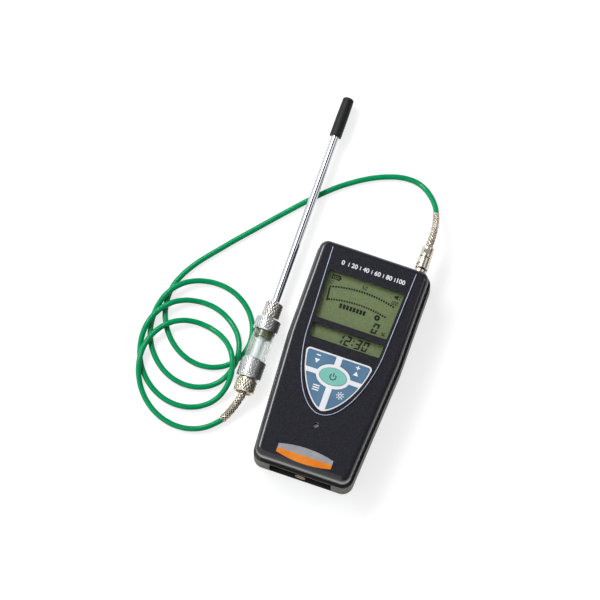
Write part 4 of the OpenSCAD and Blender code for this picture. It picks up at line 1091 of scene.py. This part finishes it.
def ray_kinds(tree, *kinds):
    """1 for rays of any of the named kinds."""
    rays = tree.nodes.new("ShaderNodeLightPath")
    found = rays.outputs[kinds[0]]
    for kind in kinds[1:]:
        found = combine(tree, "MAXIMUM", found, rays.outputs[kind])
    return found


def floor_material():
    """Grey, with a glow that is seen, also mirrored and through clear pieces, but lights nothing."""
    material = bpy.data.materials.new("floor")
    material.use_nodes = True
    tree = material.node_tree
    shader = tree.nodes["Principled BSDF"]
    shader.inputs["Base Color"].default_value = FLOOR_GREY
    shader.inputs["Roughness"].default_value = 0.9
    shader.inputs["Specular IOR Level"].default_value = 0.0
    shader.inputs["Emission Color"].default_value = FULL_WHITE
    glow = tree.nodes.new("ShaderNodeMath")
    glow.operation = "MULTIPLY"
    glow.inputs[1].default_value = FLOOR_GLOW
    seen = ray_kinds(tree, "Is Camera Ray", "Is Glossy Ray", "Is Transmission Ray")
    tree.links.new(seen, glow.inputs[0])
    tree.links.new(glow.outputs[0], shader.inputs["Emission Strength"])
    return material


def make_floor():
    """A pale floor that keeps soft shadows and is white where it is lit."""
    half = FLOOR_HALF_M
    low = -FLOOR_DROP * MM
    mesh = bpy.data.meshes.new("floor")
    corners = [(-half, -half, low), (half, -half, low), (half, half, low), (-half, half, low)]
    mesh.from_pydata(corners, [], [(0, 1, 2, 3)])
    mesh.materials.append(floor_material())
    floor = bpy.data.objects.new("floor", mesh)
    show(floor)


def wall_colour(tree):
    """White towards the picture's left and dark elsewhere, by direction."""
    direction = tree.nodes.new("ShaderNodeTexCoord").outputs["Generated"]
    toward = tree.nodes.new("ShaderNodeVectorMath")
    toward.operation = "DOT_PRODUCT"
    toward.inputs[1].default_value = -IMAGE_RIGHT
    tree.links.new(direction, toward.inputs[0])
    ramp = tree.nodes.new("ShaderNodeValToRGB")
    ramp.color_ramp.elements[0].position = WALL_BEGIN
    ramp.color_ramp.elements[0].color = ROOM_DARK
    ramp.color_ramp.elements[1].position = WALL_FULL
    ramp.color_ramp.elements[1].color = FULL_WHITE
    tree.links.new(toward.outputs["Value"], ramp.inputs["Fac"])
    return ramp.outputs["Color"]


def make_world():
    """White for the camera; as light it is a bright wall on the left of a dark room."""
    world = bpy.data.worlds.new("studio")
    world.use_nodes = True
    bpy.context.scene.world = world
    tree = world.node_tree
    light = tree.nodes["Background"]
    tree.links.new(wall_colour(tree), light.inputs["Color"])
    seen = add_node(tree, "ShaderNodeBackground", Color=FULL_WHITE)
    mix = tree.nodes.new("ShaderNodeMixShader")
    tree.links.new(ray_kinds(tree, "Is Camera Ray", "Is Transmission Ray"), mix.inputs[0])
    tree.links.new(light.outputs[0], mix.inputs[1])
    tree.links.new(seen.outputs[0], mix.inputs[2])
    tree.links.new(mix.outputs[0], tree.nodes["World Output"].inputs["Surface"])


def make_lamp(name, right, up, height, size, power, colour):
    """A soft lamp, placed by the picture's right and up, that looks at the middle of the object."""
    data = bpy.data.lights.new(name, "AREA")
    data.shape = "RECTANGLE"
    data.size = size[0]
    data.size_y = size[1]
    data.energy = power
    data.color = colour
    lamp = bpy.data.objects.new(name, data)
    lamp.location = VIEW_TARGET + IMAGE_RIGHT * right + IMAGE_UP * up + Vector((0, 0, height))
    lamp.rotation_euler = (VIEW_TARGET - lamp.location).to_track_quat("-Z", "Y").to_euler()
    show(lamp)


def make_studio():
    make_floor()
    make_world()
    make_lamp("key", right=-0.59, up=0.56, height=1.13, size=(1.0, 0.35), power=13, colour=(0.96, 0.98, 1))
    make_lamp("fill", right=0.9, up=0.3, height=0.9, size=(0.6, 0.6), power=1.5, colour=(1, 0.99, 0.97))


dress_nodes()
make_cord()
make_probe()
make_window()
make_displays()
make_key_marks()
make_panel_scale()
make_panel_highlight_bead()
make_studio()
bpy.context.scene.view_settings.view_transform = "Standard"
